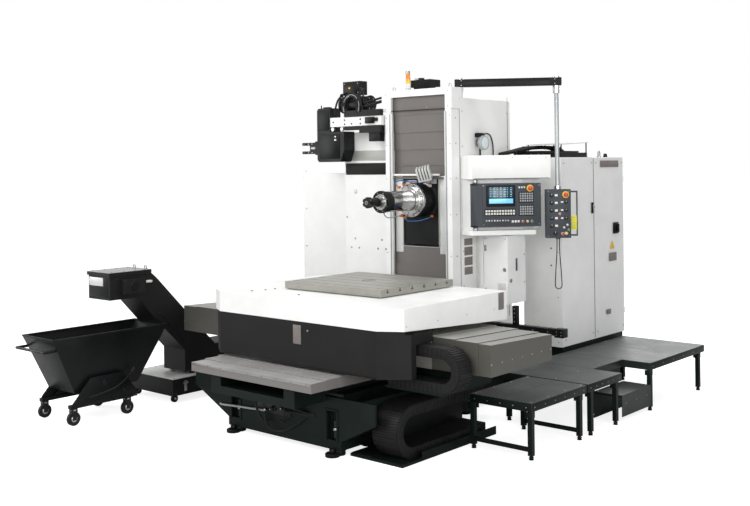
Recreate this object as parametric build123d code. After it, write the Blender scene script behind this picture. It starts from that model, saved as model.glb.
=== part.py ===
"""Horizontal boring mill with a cross-travelling rotary table, in millimetres.

+Z is up and the floor is Z = 0. X = 0 is the plane of the spindle and of the bed. Y = 0 is the
front edge of the rotary table as the machine stands here, and the spindle points along -Y.
Every function below makes one named piece, and the table at the end writes each to its own file.
"""

import math
import os

from build123d import *

# Running gaps and sheet
GUIDE_GAP = 0.3
SEAT_GAP = 0.3
SHEET = 3.0
SHELL_STEP = 8.0

# Rotary table
TABLE_LENGTH = 1400.0
TABLE_WIDTH = 1220.0
TABLE_TOP = 1600.0
TABLE_EDGE = 76.0
TABLE_OFFSET = 236.0
SLOT_PITCH = 200.0
SLOT_COUNT = 6
SLOT_NECK = 22.0
SLOT_HEAD = 38.0
SLOT_HEAD_HEIGHT = 16.0
SLOT_DEPTH = 40.0
TABLE_BORE = 60.0
TABLE_BORE_DEPTH = 60.0
TURN_HUB_RADIUS = 420.0
TURN_CUP_RADIUS = 480.0
TURN_SEAT = 1474.0

# Travels from the place where the machine stands here
TABLE_TRAVEL_LEFT = 1150.0
TABLE_TRAVEL_RIGHT = 678.0
SADDLE_TRAVEL_FRONT = 560.0
SADDLE_TRAVEL_BACK = 240.0
HEAD_TRAVEL_UP = 350.0
HEAD_TRAVEL_DOWN = 550.0
QUILL_TRAVEL_IN = 350.0
QUILL_TRAVEL_OUT = 150.0

# Bed casting
BED_FRONT = -510.0
BED_BACK = 1760.0
BED_BOTTOM = 60.0
BED_SOLE_HALF = 840.0
BED_SOLE_TOP = 150.0
BED_TROUGH_HALF = 1400.0
BED_RIGHT_FLANGE = 1289.0
BED_RIGHT_END = 1125.0
BED_TROUGH_LOW = 430.0
BED_TROUGH_TOP = 580.0
BED_TROUGH_WALL = 30.0
BED_TROUGH_FLOOR = 500.0
BED_SPINE_HALF = 760.0
BED_NOSE_FRONT = -930.0
BED_NOSE_BOTTOM = 520.0
WAY_TOP = 700.0
WAY_INNER = 470.0
WAY_OUTER = 620.0
POCKET_WIDTH = 130.0
POCKET_DEPTH = 60.0
POCKET_BOTTOM = 155.0
POCKET_TOP = 440.0
POCKET_OFFSET = 715.0
FOOT_RADIUS = 70.0
FOOT_OFFSET = 740.0
FOOT_ROWS = (-440.0, 0.0, 560.0, 1120.0, 1680.0)
COLUMN_FOOT_ROWS = (2240.0, 2960.0)

# Telescopic covers along the bed
BED_COVER_FRONT = -970.0
BED_COVER_HALF = 892.0
BED_COVER_TOP = 806.0
BED_COVER_BOTTOM = 713.0
BED_COVER_STEP = 190.0
BED_COVER_LENGTH = 360.0
BED_COVER_REAR_LENGTH = 420.0
BED_COVER_REAR_STEP = 86.7
BED_COVER_COUNT = 2
COVER_CARRIER = 200.0
WIPER = 8.0

# Saddle
SADDLE_FRONT = 0.0
SADDLE_BACK = TABLE_WIDTH - 120.0
SADDLE_HALF = 2235.0
SADDLE_BEAM_BOTTOM = 890.0
SADDLE_BEAM_TOP = 1000.0
SADDLE_WAY_TOP = 1110.0
SADDLE_WAY_OFFSET = 380.0
SADDLE_WAY_HALF = 65.0
SADDLE_FOOT_HALF = 850.0
SADDLE_EDGE = 50.0
SADDLE_SHY = 20.0
SADDLE_FLANGE = 25.0

# Telescopic covers along the saddle
X_COVER_END = SADDLE_HALF + 35.0
X_COVER_FRONT = SADDLE_FRONT
X_COVER_BACK = SADDLE_BACK
X_COVER_TOP_FRONT = 1199.0
X_COVER_TOP_BACK = 1160.0
X_COVER_BOTTOM = 882.0
X_COVER_LENGTH = 745.0
X_COVER_SHARES = (0.214, 0.607)
X_COVER_SPARE = 2.0
SLIDE_HALF = 600.0
SLIDE_SLAB_TOP = 1140.0
SLIDE_PLATE = 7.0

# Table guard
GUARD_FRONT = -570.0
GUARD_BACK = TABLE_WIDTH + 70.0
GUARD_FRONT_HALF = 1129.0
GUARD_SIDE_HALF = 1361.0
GUARD_CHAMFER = 139.0
GUARD_TOP = 1515.0
GUARD_SPLIT = 1300.0
GUARD_SIDE_LOW_BACK = 1206.0
GUARD_WALL = 6.0
SKIRT_BOTTOM = 844.0
SKIRT_SIDE_HALF = 1397.0
SKIRT_CHAMFER = 196.0
SKIRT_SIDE_BACK = -300.0
SKIRT_BAND_BOTTOM = 1165.0
SKIRT_BAND_BACK = -40.0
SKIRT_WALL = 4.0
SKIRT_SIDE_TOP = 1268.0

# Column
SPINDLE_HEIGHT = 2443.0
COLUMN_HALF = 515.0
COLUMN_FACE = 1950.0
COLUMN_BACK = 3020.0
COLUMN_BOTTOM = 600.0
COLUMN_TOP = SPINDLE_HEIGHT + 1217.0
COLUMN_BASE_HALF = 700.0
GROOVE_HALF = 425.0
GROOVE_BACK = 2520.0
GROOVE_TOP = COLUMN_TOP - 100.0
CASING_FRONT = 1790.0
CASING_HALF = 510.0
CASING_BOTTOM = 900.0
CAP_LEFT = -564.0
CAP_RIGHT = 519.0
CAP_BOTTOM = COLUMN_TOP - 130.0
CAP_TOP = COLUMN_TOP + 124.0
CAP_BACK = 1990.0
SHUTTER_HALF = 418.0
SHUTTER_FACE = 1840.0
SHUTTER_TOP = COLUMN_TOP + 40.0
SHUTTER_LIP = 7.7
APRON_TOP = SPINDLE_HEIGHT - 785.0
APRON_FACE = 1832.0

# Shutter plates above the head, from the top: lower edge, length, share of the head's travel
FIXED_SHUTTER_EDGE = SPINDLE_HEIGHT + 1037.0
UPPER_SHUTTER_EDGE = SPINDLE_HEIGHT + 817.0
LOWER_SHUTTER_EDGE = SPINDLE_HEIGHT + 607.0
UPPER_SHUTTER_LENGTH = 440.0
LOWER_SHUTTER_LENGTH = 560.0
HEAD_SHUTTER_LENGTH = 690.0

# Spindle head
HEAD_HALF = 400.0
HEAD_FRONT = 1880.0
HEAD_PAD_FACE = 1852.0
HEAD_BACK = 2300.0
HEAD_BOTTOM = SPINDLE_HEIGHT - 543.0
HEAD_TOP = SPINDLE_HEIGHT + 257.0
HEAD_SHEET_TOP = SPINDLE_HEIGHT + 277.0
HEAD_WINDOW_HALF = 273.0
HEAD_WINDOW_BOTTOM = SPINDLE_HEIGHT - 562.0
HEAD_WINDOW_TOP = SPINDLE_HEIGHT + 257.0
HEAD_SHEET_TAIL = 30.0
WORK_LAMP_X = 165.0
WORK_LAMP_Y = 1700.0
WORK_LAMP_RISE = 65.0
WORK_LAMP_SIZE = 150.0
WORK_LAMP_DEPTH = 90.0
WORK_LAMP_TILT = 25.0
WORK_LAMP_TURN = 30.0
SNOUT_RADIUS = 205.0
SNOUT_FRONT = 1690.0
FLANGE_RADIUS = 200.0
FLANGE_FRONT = 1645.0
QUILL_RADIUS = 120.0
QUILL_NOSE = 1130.0
QUILL_TAIL = 2095.0
NOSE_RING_RADIUS = 128.0
NOSE_RING_FRONT = 1095.0
SPINDLE_RADIUS = 72.0
SPINDLE_NOSE = 1060.0
RUNNING_FIT = 0.05
CUTTER_RADIUS = 62.0
CUTTER_FRONT = 850.0
ARBOR_RADIUS = 40.0
CUTTER_TEETH = 6

# Housings on the left of the column
CHANGER_BODY_LEFT = -1350.0
CHANGER_BODY_TOP = 3300.0
MAGAZINE_LEFT = -2280.0
MAGAZINE_FRONT = 2100.0
MAGAZINE_BACK = 3020.0
MAGAZINE_TOP = 2770.0
MAGAZINE_BOTTOM = 620.0
BEAM_FRONT = 1740.0
BEAM_BACK = 1900.0
BEAM_BOTTOM = 3370.0
BEAM_TOP = 3490.0
RAIL_BOTTOM = 3300.0
RAIL_TOP = 3570.0
DRUM_RADIUS = 100.0
BEAM_RAIL_LEFT = -1150.0
BEAM_RIGHT = -COLUMN_HALF - 20.0
BEAM_FOOT_LENGTH = 500.0
RAIL_PROUD = 15.0
LOW_RAIL_LEFT = -890.0
BEAM_MOTOR_LEFT = -745.0
BEAM_MOTOR_RIGHT = -560.0
BEAM_MOTOR_BOTTOM = 3170.0
DRUM_LEFT = -1260.0
DRUM_RIGHT = -790.0
DRUM_LIFT = 60.0
DRIVE_BOX_LEFT = -1220.0
DRIVE_BOX_RIGHT = -925.0
DRIVE_BOX_LIFT = 120.0
DRIVE_BOX_HEIGHT = 175.0
CARRIAGE_LEFT = -1645.0
CARRIAGE_NECK = -1406.0
CARRIAGE_RIGHT = -1165.0
CARRIAGE_BACK = COLUMN_FACE - 10.0
CARRIAGE_BOTTOM = 2920.0
CARRIAGE_TOP = 3620.0

# Column top
ARM_PIVOT_X = 450.0
ARM_PIVOT_Y = 2050.0
ARM_END_X = 1391.0
ARM_END_Y = 2697.0
ARM_BOTTOM = COLUMN_TOP + 132.0
ARM_HEIGHT = 92.0
ARM_WIDTH = 100.0
POLE_RADIUS = 25.0
ARM_POST_RADIUS = 45.0
BEACON_TOP = CAP_TOP + 236.0
BEACON_RADIUS = 28.0
SIDE_LAMP_RADIUS = 85.0
TOP_MOTOR_LEFT = -391.0
TOP_MOTOR_RIGHT = -53.0
TOP_MOTOR_FRONT = 2120.0
TOP_MOTOR_BACK = 2330.0
TOP_MOTOR_LIFT = 180.0
TOP_MOTOR_HEIGHT = 90.0
ROOF_DUCT_HEIGHT = 85.0
ROOF_DUCT_WIDTH = 420.0
ROOF_DUCT_LENGTH = 900.0
ROOF_UNIT_HEIGHT = 60.0

# Pendant
PENDANT_WIDTH = 290.0
PENDANT_DEPTH = 120.0
PENDANT_TOP = 2560.0
PENDANT_BOTTOM = 1985.0
PENDANT_TURN = 41.2
CORD_RADIUS = 6.0

# Operator's panel and its bracket
PANEL_HINGE_X = 745.0
PANEL_HINGE_Y = 1925.0
PANEL_TURN = 48.6
PANEL_WIDTH = 780.0
PANEL_DEPTH = 110.0
PANEL_BOTTOM = 2130.0
PANEL_TOP = 2640.0
PANEL_POST_RADIUS = 55.0
HOOD_BOTTOM = 2690.0
HOOD_TOP = 2970.0
LEDGE_BOTTOM = 2030.0
LEDGE_TOP = 2090.0

# Service box
SERVICE_LEFT = 660.0
SERVICE_RIGHT = 1000.0
SERVICE_FRONT = 2210.0
SERVICE_BACK = 2590.0
SERVICE_BOTTOM = 1215.0
SERVICE_TOP = 2022.0
SERVICE_SHEET = 20.0
SERVICE_KNUCKLE = 8.0
SERVICE_HINGES = (1360.0, 1810.0)

# Electrical cabinet
CABINET_LEFT = 640.0
CABINET_RIGHT = 1200.0
CABINET_FRONT = 3100.0
CABINET_BACK = 4700.0
CABINET_BOTTOM = 600.0
CABINET_TOP = 2940.0
CABINET_WALL = 20.0
DOOR_THICKNESS = 25.0
DOOR_GAP = 6.0
DOOR_KNUCKLE = 9.0
STAND_INSET = 20.0

# Platforms
DECK_TOP = 550.0
DECK_EDGE = 85.0
DECK_RIGHT = 2350.0
FRONT_DECK_LEFT = 1620.0
FRONT_DECK_FRONT = 570.0
FRONT_DECK_BACK = 1630.0
REAR_DECK_LEFT = 1222.0
REAR_DECK_FRONT = 1660.0
REAR_DECK_BACK = 4600.0
NOTCH_LEFT = 1990.0
NOTCH_FRONT = 2400.0
NOTCH_BACK = 3100.0
STEP_TOP = 300.0
LEG_SIZE = 50.0
LEG_PAD_HEIGHT = 40.0
BAR_HEIGHT = 75.0

# Cable chains
BED_CHAIN_LEFT = 1150.0
BED_CHAIN_RIGHT = 1460.0
BED_CHAIN_FRONT = -400.0
BED_CHAIN_BOTTOM = 30.0
BED_CHAIN_TOP = 540.0
BED_CHAIN_LENGTH = 1500.0
BED_CHAIN_BAND = 105.0
SADDLE_CHAIN_FRONT = -250.0
SADDLE_CHAIN_BACK = -50.0
SADDLE_CHAIN_RIGHT = SADDLE_HALF - 135.0
SADDLE_CHAIN_BOTTOM = 725.0
SADDLE_CHAIN_TOP = 1145.0
SADDLE_CHAIN_LENGTH = 900.0
SADDLE_CHAIN_BAND = 95.0
CHAIN_PITCH = 55.0
CHAIN_NOTCH = 5.0
TRAY_RIGHT = 1530.0
TRAY_LEFT = 860.0

# Chip conveyor and coolant tank
CONVEYOR_LEFT = -2850.0
CONVEYOR_RIGHT = -2420.0
TANK_LEFT = -3190.0
TANK_RIGHT = -2290.0
TANK_FRONT = -150.0
TANK_BACK = 1350.0
TANK_BOTTOM = 90.0
TANK_TOP = 290.0

# Chip cart
CART_CENTRE = -2650.0
HANDLE_RADIUS = 16.0
HANDLE_REACH = 90.0
HANDLE_HEIGHT = 860.0
CART_HALF = 330.0
CART_FRONT = -1740.0
CART_BACK = -270.0
CART_RIM = 985.0
CART_WALL = 8.0
CART_PLATE_HALF = 286.0
HOPPER_FLOOR = 330.0
CASTER_RADIUS = 77.0
CASTER_WIDTH = 40.0


def block(x, y, z):
    """Box between the low and high ends given for each axis."""
    size = (x[1] - x[0], y[1] - y[0], z[1] - z[0])
    return Pos((x[0] + x[1]) / 2, (y[0] + y[1]) / 2, (z[0] + z[1]) / 2) * Box(*size)


def prism_x(points, low, high):
    """Prism along X whose outline is a list of (y, z) points."""
    outline = Plane.YZ * make_face(Polyline(*points, close=True))
    return Pos(low, 0, 0) * extrude(outline, high - low)


def prism_y(points, low, high):
    """Prism along Y whose outline is a list of (x, z) points."""
    outline = Plane.XZ * make_face(Polyline(*points, close=True))
    return Pos(0, high, 0) * extrude(outline, high - low)


def prism_z(points, low, high):
    """Prism along Z whose outline is a list of (x, y) points."""
    return Pos(0, 0, low) * extrude(make_face(Polyline(*points, close=True)), high - low)


def rod_x(radius, y, z, low, high):
    """Cylinder along X."""
    return Pos((low + high) / 2, y, z) * Rot(0, 90, 0) * Cylinder(radius, high - low)


def rod_y(radius, x, z, low, high):
    """Cylinder along Y."""
    return Pos(x, (low + high) / 2, z) * Rot(90, 0, 0) * Cylinder(radius, high - low)


def rod_z(radius, x, y, low, high):
    """Cylinder along Z."""
    return Pos(x, y, (low + high) / 2) * Cylinder(radius, high - low)


def group(*pieces):
    """Pieces of one node that don't touch, kept as separate solids."""
    return Compound(children=[solid for piece in pieces for solid in piece.solids()])


# Bed

def bed():
    """Flared bed casting with its two ways, a nose under the front cover and the column's base."""
    sole = BED_SOLE_HALF
    trough = BED_TROUGH_HALF
    outline = [
        (-sole, BED_BOTTOM), (sole, BED_BOTTOM), (sole, BED_SOLE_TOP),
        (trough, BED_TROUGH_LOW), (trough, BED_TROUGH_TOP),
        (-trough, BED_TROUGH_TOP), (-trough, BED_TROUGH_LOW), (-sole, BED_SOLE_TOP),
    ]
    casting = prism_y(outline, BED_FRONT, BED_BACK)
    for side in (-1, 1):
        outer = (trough if side < 0 else BED_RIGHT_END) - BED_TROUGH_WALL
        low, high = sorted((side * BED_SPINE_HALF, side * outer))
        casting -= block((low, high), (BED_FRONT + BED_TROUGH_WALL, BED_BACK - BED_TROUGH_WALL),
                         (BED_TROUGH_FLOOR, BED_TROUGH_TOP + 1))
        low, high = sorted((side * WAY_INNER, side * WAY_OUTER))
        casting += block((low, high), (BED_NOSE_FRONT, BED_BACK), (BED_NOSE_BOTTOM, WAY_TOP))
        centre = side * POCKET_OFFSET
        casting -= block((centre - POCKET_WIDTH / 2, centre + POCKET_WIDTH / 2),
                         (BED_FRONT - 1, BED_FRONT + POCKET_DEPTH), (POCKET_BOTTOM, POCKET_TOP))
    casting += block((-WAY_OUTER, WAY_OUTER), (BED_NOSE_FRONT, BED_FRONT), (BED_NOSE_BOTTOM, 600))
    casting -= block((BED_RIGHT_END, trough + 1), (BED_FRONT + BED_TROUGH_WALL, BED_BACK + 1),
                     (BED_BOTTOM, BED_TROUGH_TOP + 1))
    casting -= block((BED_RIGHT_FLANGE, trough + 1), (BED_FRONT - 1, BED_BACK),
                     (BED_BOTTOM, BED_TROUGH_TOP + 1))
    chain_end = BED_CHAIN_FRONT + BED_CHAIN_LENGTH
    casting += block((BED_RIGHT_END - 1, BED_CHAIN_LEFT - SEAT_GAP), (chain_end - 150, chain_end - 50),
                     (BED_CHAIN_TOP - BED_CHAIN_BAND, BED_CHAIN_TOP))
    base = block((-COLUMN_BASE_HALF, COLUMN_BASE_HALF), (BED_BACK, COLUMN_BACK + 60),
                 (BED_BOTTOM, COLUMN_BOTTOM - SEAT_GAP))
    base += block((0, CABINET_LEFT + STAND_INSET + 60), (COLUMN_BACK, CABINET_FRONT + STAND_INSET - SEAT_GAP),
                  (BED_BOTTOM, COLUMN_BOTTOM / 2))
    return casting + base


def foot_places():
    """Plan positions of the levelling feet, with one under the middle of the bed."""
    places = [(side * FOOT_OFFSET, row) for row in FOOT_ROWS for side in (-1, 1)]
    places += [(side * (COLUMN_BASE_HALF - 100), row) for row in COLUMN_FOOT_ROWS for side in (-1, 1)]
    return places + [(0.0, 0.0)]


def levelling_feet():
    """Round screw feet that carry the bed."""
    feet = [rod_z(FOOT_RADIUS, x, y, 0, BED_BOTTOM) for x, y in foot_places()]
    return group(*feet)


def channel_y(step, low, high, lip=None):
    """Inverted sheet channel along Y; lip is the span of the wiper that rides on the box below."""
    half = BED_COVER_HALF + step * SHELL_STEP
    top = BED_COVER_TOP + step * SHELL_STEP
    shell = block((-half, half), (low, high), (BED_COVER_BOTTOM, top))
    shell -= block((-half + SHEET, half - SHEET), (low - 1, high + 1),
                   (BED_COVER_BOTTOM - 1, top - SHEET))
    if lip is not None:
        inset = SHELL_STEP - GUIDE_GAP
        wiper = block((-half, half), lip, (BED_COVER_BOTTOM, top))
        shell += wiper - block((-half + inset, half - inset), lip, (BED_COVER_BOTTOM - 1, top - inset))
    return shell


def bed_cover_ends():
    """Fixed end boxes of the bed covers, at the front of the bed and at the column."""
    front = channel_y(0, BED_COVER_FRONT, BED_COVER_FRONT + BED_COVER_LENGTH)
    front += block((-BED_COVER_HALF, BED_COVER_HALF), (BED_COVER_FRONT, BED_COVER_FRONT + SHEET),
                   (BED_COVER_BOTTOM, BED_COVER_TOP))
    back = channel_y(0, CASING_FRONT - BED_COVER_REAR_LENGTH, CASING_FRONT)
    for side in (-1, 1):
        low, high = sorted((side * (WAY_INNER + 10), side * (WAY_OUTER - 10)))
        carrier = (WAY_TOP + SEAT_GAP, BED_COVER_TOP - 1)
        front += block((low, high), (BED_NOSE_FRONT, BED_NOSE_FRONT + COVER_CARRIER), carrier)
        back += block((low, high), (BED_BACK - COVER_CARRIER, BED_BACK), carrier)
    return group(front, back)


def bed_cover(step):
    """One travelling pair of bed cover boxes, in front of and behind the saddle."""
    edge = BED_COVER_FRONT + step * BED_COVER_STEP
    rear = CASING_FRONT - step * BED_COVER_REAR_STEP
    return group(channel_y(step, edge, edge + BED_COVER_LENGTH, (edge, edge + WIPER)),
                 channel_y(step, rear - BED_COVER_REAR_LENGTH, rear, (rear - WIPER, rear)))


# Saddle

def saddle_centre():
    """Y of the middle of the saddle."""
    return (SADDLE_FRONT + SADDLE_BACK) / 2


def saddle():
    """Saddle casting: shoes on the bed ways, a long beam and the two cross ways on it."""
    middle = saddle_centre()
    depth = (SADDLE_BACK - SADDLE_FRONT) / 2 - SADDLE_EDGE
    casting = block((-SADDLE_HALF, SADDLE_HALF), (middle - depth, middle + depth),
                    (SADDLE_BEAM_BOTTOM, SADDLE_BEAM_TOP))
    casting += block((-SADDLE_FOOT_HALF, SADDLE_FOOT_HALF),
                     (SADDLE_FRONT + SADDLE_SHY, SADDLE_BACK - SADDLE_SHY),
                     (WAY_TOP + GUIDE_GAP, SADDLE_BEAM_BOTTOM))
    flange = BED_COVER_HALF + (BED_COVER_COUNT + 1) * SHELL_STEP
    for y in (SADDLE_FRONT + SADDLE_SHY + SEAT_GAP, SADDLE_BACK - SADDLE_SHY - SEAT_GAP - SADDLE_FLANGE):
        casting += block((-flange, flange), (y, y + SADDLE_FLANGE), (BED_COVER_BOTTOM, SADDLE_BEAM_BOTTOM))
    for side in (-1, 1):
        way = middle + side * SADDLE_WAY_OFFSET
        casting += block((-SADDLE_HALF, SADDLE_HALF), (way - SADDLE_WAY_HALF, way + SADDLE_WAY_HALF),
                         (SADDLE_BEAM_TOP, SADDLE_WAY_TOP))
    shelf = (SADDLE_CHAIN_BOTTOM - 25, SADDLE_CHAIN_BOTTOM - SEAT_GAP)
    reach = (SADDLE_CHAIN_RIGHT - SADDLE_CHAIN_LENGTH, SADDLE_CHAIN_RIGHT - 200)
    casting += block(reach, (SADDLE_CHAIN_FRONT, middle), shelf)
    casting += block(reach, (SADDLE_FRONT + 60, middle), (shelf[0], SADDLE_BEAM_BOTTOM))
    return casting


def saddle_bed_covers():
    """Largest bed cover boxes, fixed to the saddle's front and back."""
    step = BED_COVER_COUNT + 1
    front = BED_COVER_FRONT + step * BED_COVER_STEP
    back = CASING_FRONT - step * BED_COVER_REAR_STEP
    return group(channel_y(step, front, SADDLE_FRONT + SADDLE_SHY, (front, front + WIPER)),
                 channel_y(step, SADDLE_BACK - SADDLE_SHY, back, (back - WIPER, back)))


def x_cover_outline(step, inset=0.0, bottom=X_COVER_BOTTOM):
    """Outline of a cross cover box, drawn in by inset; a higher step is a larger box."""
    grow = (step - 2) * SHELL_STEP - inset
    front, back = X_COVER_FRONT - grow, X_COVER_BACK + grow
    return [(front, bottom), (front, X_COVER_TOP_FRONT + grow), (back, X_COVER_TOP_BACK + grow),
            (back, bottom)]


def channel_x(step, low, high, lip=None):
    """Inverted channel along X with a sloping roof; lip is the span of its wiper."""
    under = X_COVER_BOTTOM - 1
    shell = prism_x(x_cover_outline(step), low, high)
    shell -= prism_x(x_cover_outline(step, SHEET, under), low - 1, high + 1)
    if lip is not None:
        shell += (prism_x(x_cover_outline(step), *lip)
                  - prism_x(x_cover_outline(step, SHELL_STEP - GUIDE_GAP, under), *lip))
    return shell


def saddle_cover_ends():
    """Fixed end boxes of the cross covers, closed at both ends of the saddle."""
    pieces = []
    for side in (-1, 1):
        low, high = sorted((side * (X_COVER_END - X_COVER_LENGTH), side * X_COVER_END))
        box = channel_x(0, low, high)
        low, high = sorted((side * (SADDLE_HALF + SEAT_GAP), side * X_COVER_END))
        pieces.append(box + prism_x(x_cover_outline(0), low, high))
    return group(*pieces)


def x_cover_edges(share):
    """Outer edges, right and left, of the cross cover box that moves with this share of the table."""
    right = X_COVER_END - share * (TABLE_TRAVEL_RIGHT + X_COVER_SPARE * 3)
    left = -X_COVER_END + share * (TABLE_TRAVEL_LEFT + X_COVER_SPARE * 3)
    return right, left


def x_cover(step):
    """One travelling pair of cross cover boxes, right and left of the table."""
    right, left = x_cover_edges(X_COVER_SHARES[step - 1])
    return group(channel_x(step, right - X_COVER_LENGTH, right, (right - WIPER, right)),
                 channel_x(step, left, left + X_COVER_LENGTH, (left, left + WIPER)))


def table_slide():
    """Slide under the turntable, on the saddle's ways, with the largest cross cover boxes."""
    middle = saddle_centre()
    left, right = TABLE_OFFSET - SLIDE_HALF, TABLE_OFFSET + SLIDE_HALF
    sole = SADDLE_WAY_TOP + GUIDE_GAP
    slide = block((left, right), (SADDLE_FRONT + 30, SADDLE_BACK - 30), (sole, SLIDE_SLAB_TOP))
    slide += block((left + 40, right - 40), (SADDLE_FRONT + 60, SADDLE_BACK - 60),
                   (SLIDE_SLAB_TOP, GUARD_TOP - GUARD_WALL - SEAT_GAP))
    slide += rod_z(TURN_CUP_RADIUS, TABLE_OFFSET, TABLE_WIDTH / 2, SLIDE_SLAB_TOP, GUARD_TOP)
    slide -= rod_z(TURN_HUB_RADIUS + 1, TABLE_OFFSET, TABLE_WIDTH / 2, TURN_SEAT, GUARD_TOP + 1)
    outer_right, outer_left = x_cover_edges(1.0)
    plate = x_cover_outline(3, 0, sole)
    slide += channel_x(3, right - SLIDE_PLATE, outer_right, (outer_right - WIPER, outer_right))
    slide += channel_x(3, outer_left, left + SLIDE_PLATE, (outer_left, outer_left + WIPER))
    slide += prism_x(plate, right - SLIDE_PLATE, right) + prism_x(plate, left, left + SLIDE_PLATE)
    for side in (-1, 1):
        way = middle + side * SADDLE_WAY_OFFSET - SADDLE_WAY_HALF
        slide += block((left + 20, right - 20), (way - 40, way - 1), (SADDLE_BEAM_TOP + GUIDE_GAP, sole))
    return slide


def guard_outline(front_half, side_half, front, chamfer, back, inset):
    """Plan of the guard: a front with two chamfered corners and straight sides."""
    centre = TABLE_OFFSET
    slant = inset * math.tan(math.atan2(chamfer, side_half - front_half) / 2)
    return [
        (centre - front_half + slant, front + inset), (centre + front_half - slant, front + inset),
        (centre + side_half - inset, front + chamfer + slant), (centre + side_half - inset, back),
        (centre - side_half + inset, back), (centre - side_half + inset, front + chamfer + slant),
    ]


def table_guard():
    """White guard round the turntable: an open-bottomed cover whose side edges rise to the front."""
    reach = (GUARD_FRONT_HALF, GUARD_SIDE_HALF, GUARD_FRONT, GUARD_CHAMFER, GUARD_BACK)
    outer = prism_z(guard_outline(*reach, 0), GUARD_SIDE_LOW_BACK, GUARD_TOP)
    inner = prism_z(guard_outline(*reach[:4], GUARD_BACK - GUARD_WALL, GUARD_WALL),
                    GUARD_SIDE_LOW_BACK - 1, GUARD_TOP - GUARD_WALL)
    shell = outer - inner
    side_start = GUARD_FRONT + GUARD_CHAMFER
    below = [(GUARD_FRONT - 10, GUARD_SIDE_LOW_BACK - 10), (GUARD_BACK + 10, GUARD_SIDE_LOW_BACK - 10),
             (GUARD_BACK + 10, GUARD_SIDE_LOW_BACK), (side_start, GUARD_SPLIT),
             (GUARD_FRONT - 10, GUARD_SPLIT)]
    shell -= prism_x(below, TABLE_OFFSET - GUARD_SIDE_HALF - 10, TABLE_OFFSET + GUARD_SIDE_HALF + 10)
    return shell - rod_z(TURN_CUP_RADIUS + SEAT_GAP, TABLE_OFFSET, TABLE_WIDTH / 2,
                         GUARD_TOP - 20, GUARD_TOP + 20)


def table_skirt():
    """Dark skirt below the guard: front, chamfered corners, short sides and an upper band behind."""
    reach = (GUARD_FRONT_HALF, SKIRT_SIDE_HALF, GUARD_FRONT, SKIRT_CHAMFER)
    outer = prism_z(guard_outline(*reach, SKIRT_BAND_BACK, 0), SKIRT_BOTTOM, GUARD_SPLIT - SEAT_GAP)
    inner = prism_z(guard_outline(*reach, SKIRT_BAND_BACK + 1, SKIRT_WALL), SKIRT_BOTTOM - 1,
                    GUARD_SPLIT + 1)
    wall = outer - inner
    for side in (-1, 1):
        low, high = sorted(TABLE_OFFSET + side * reach
                           for reach in (GUARD_SIDE_HALF - 12, SKIRT_SIDE_HALF + 1))
        wall -= block((low, high), (GUARD_FRONT, SKIRT_BAND_BACK + 1), (SKIRT_SIDE_TOP, GUARD_SPLIT))
    return wall - block((TABLE_OFFSET - SKIRT_SIDE_HALF - 10, TABLE_OFFSET + SKIRT_SIDE_HALF + 10),
                        (SKIRT_SIDE_BACK, SKIRT_BAND_BACK + 10), (SKIRT_BOTTOM - 1, SKIRT_BAND_BOTTOM))


def rotary_table():
    """Turntable top with T-slots along X, a centre bore and a round hub below."""
    centre = (TABLE_OFFSET, TABLE_WIDTH / 2)
    half = TABLE_LENGTH / 2
    top = block((centre[0] - half, centre[0] + half), (0, TABLE_WIDTH), (TABLE_TOP - TABLE_EDGE, TABLE_TOP))
    for index in range(SLOT_COUNT):
        y = centre[1] + (index - (SLOT_COUNT - 1) / 2) * SLOT_PITCH
        reach = (centre[0] - half - 1, centre[0] + half + 1)
        top -= block(reach, (y - SLOT_NECK / 2, y + SLOT_NECK / 2), (TABLE_TOP - SLOT_DEPTH, TABLE_TOP + 1))
        top -= block(reach, (y - SLOT_HEAD / 2, y + SLOT_HEAD / 2),
                     (TABLE_TOP - SLOT_DEPTH, TABLE_TOP - SLOT_DEPTH + SLOT_HEAD_HEIGHT))
    top += rod_z(TURN_HUB_RADIUS, *centre, TURN_SEAT + GUIDE_GAP, TABLE_TOP - TABLE_EDGE)
    return top - rod_z(TABLE_BORE / 2, *centre, TABLE_TOP - TABLE_BORE_DEPTH, TABLE_TOP + 1)


# Column

def column():
    """Column with a front groove for the head, on the bed's base, and the post of the swing arm."""
    body = block((-COLUMN_HALF, COLUMN_HALF), (COLUMN_FACE, COLUMN_BACK), (COLUMN_BOTTOM, COLUMN_TOP))
    body += rod_z(ARM_POST_RADIUS, ARM_PIVOT_X, ARM_PIVOT_Y, COLUMN_TOP, ARM_BOTTOM - GUIDE_GAP)
    return body - block((-GROOVE_HALF, GROOVE_HALF), (COLUMN_FACE - 1, GROOVE_BACK),
                        (COLUMN_BOTTOM + 100, GROOVE_TOP))


def column_casing():
    """White casing in front of the column, with the slots that guide the sheets."""
    pieces = []
    back = COLUMN_FACE - SEAT_GAP
    for side in (-1, 1):
        low, high = sorted((side * SHUTTER_HALF, side * CASING_HALF))
        post = block((low, high), (CASING_FRONT, back), (CASING_BOTTOM, CAP_BOTTOM - SEAT_GAP))
        low, high = sorted((side * (SHUTTER_HALF - 1), side * (SHUTTER_HALF + SHUTTER_LIP + SEAT_GAP)))
        post -= block((low, high), (APRON_FACE, back + 1), (CASING_BOTTOM - 1, CAP_BOTTOM))
        pieces.append(post)
    return group(*pieces)


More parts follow.
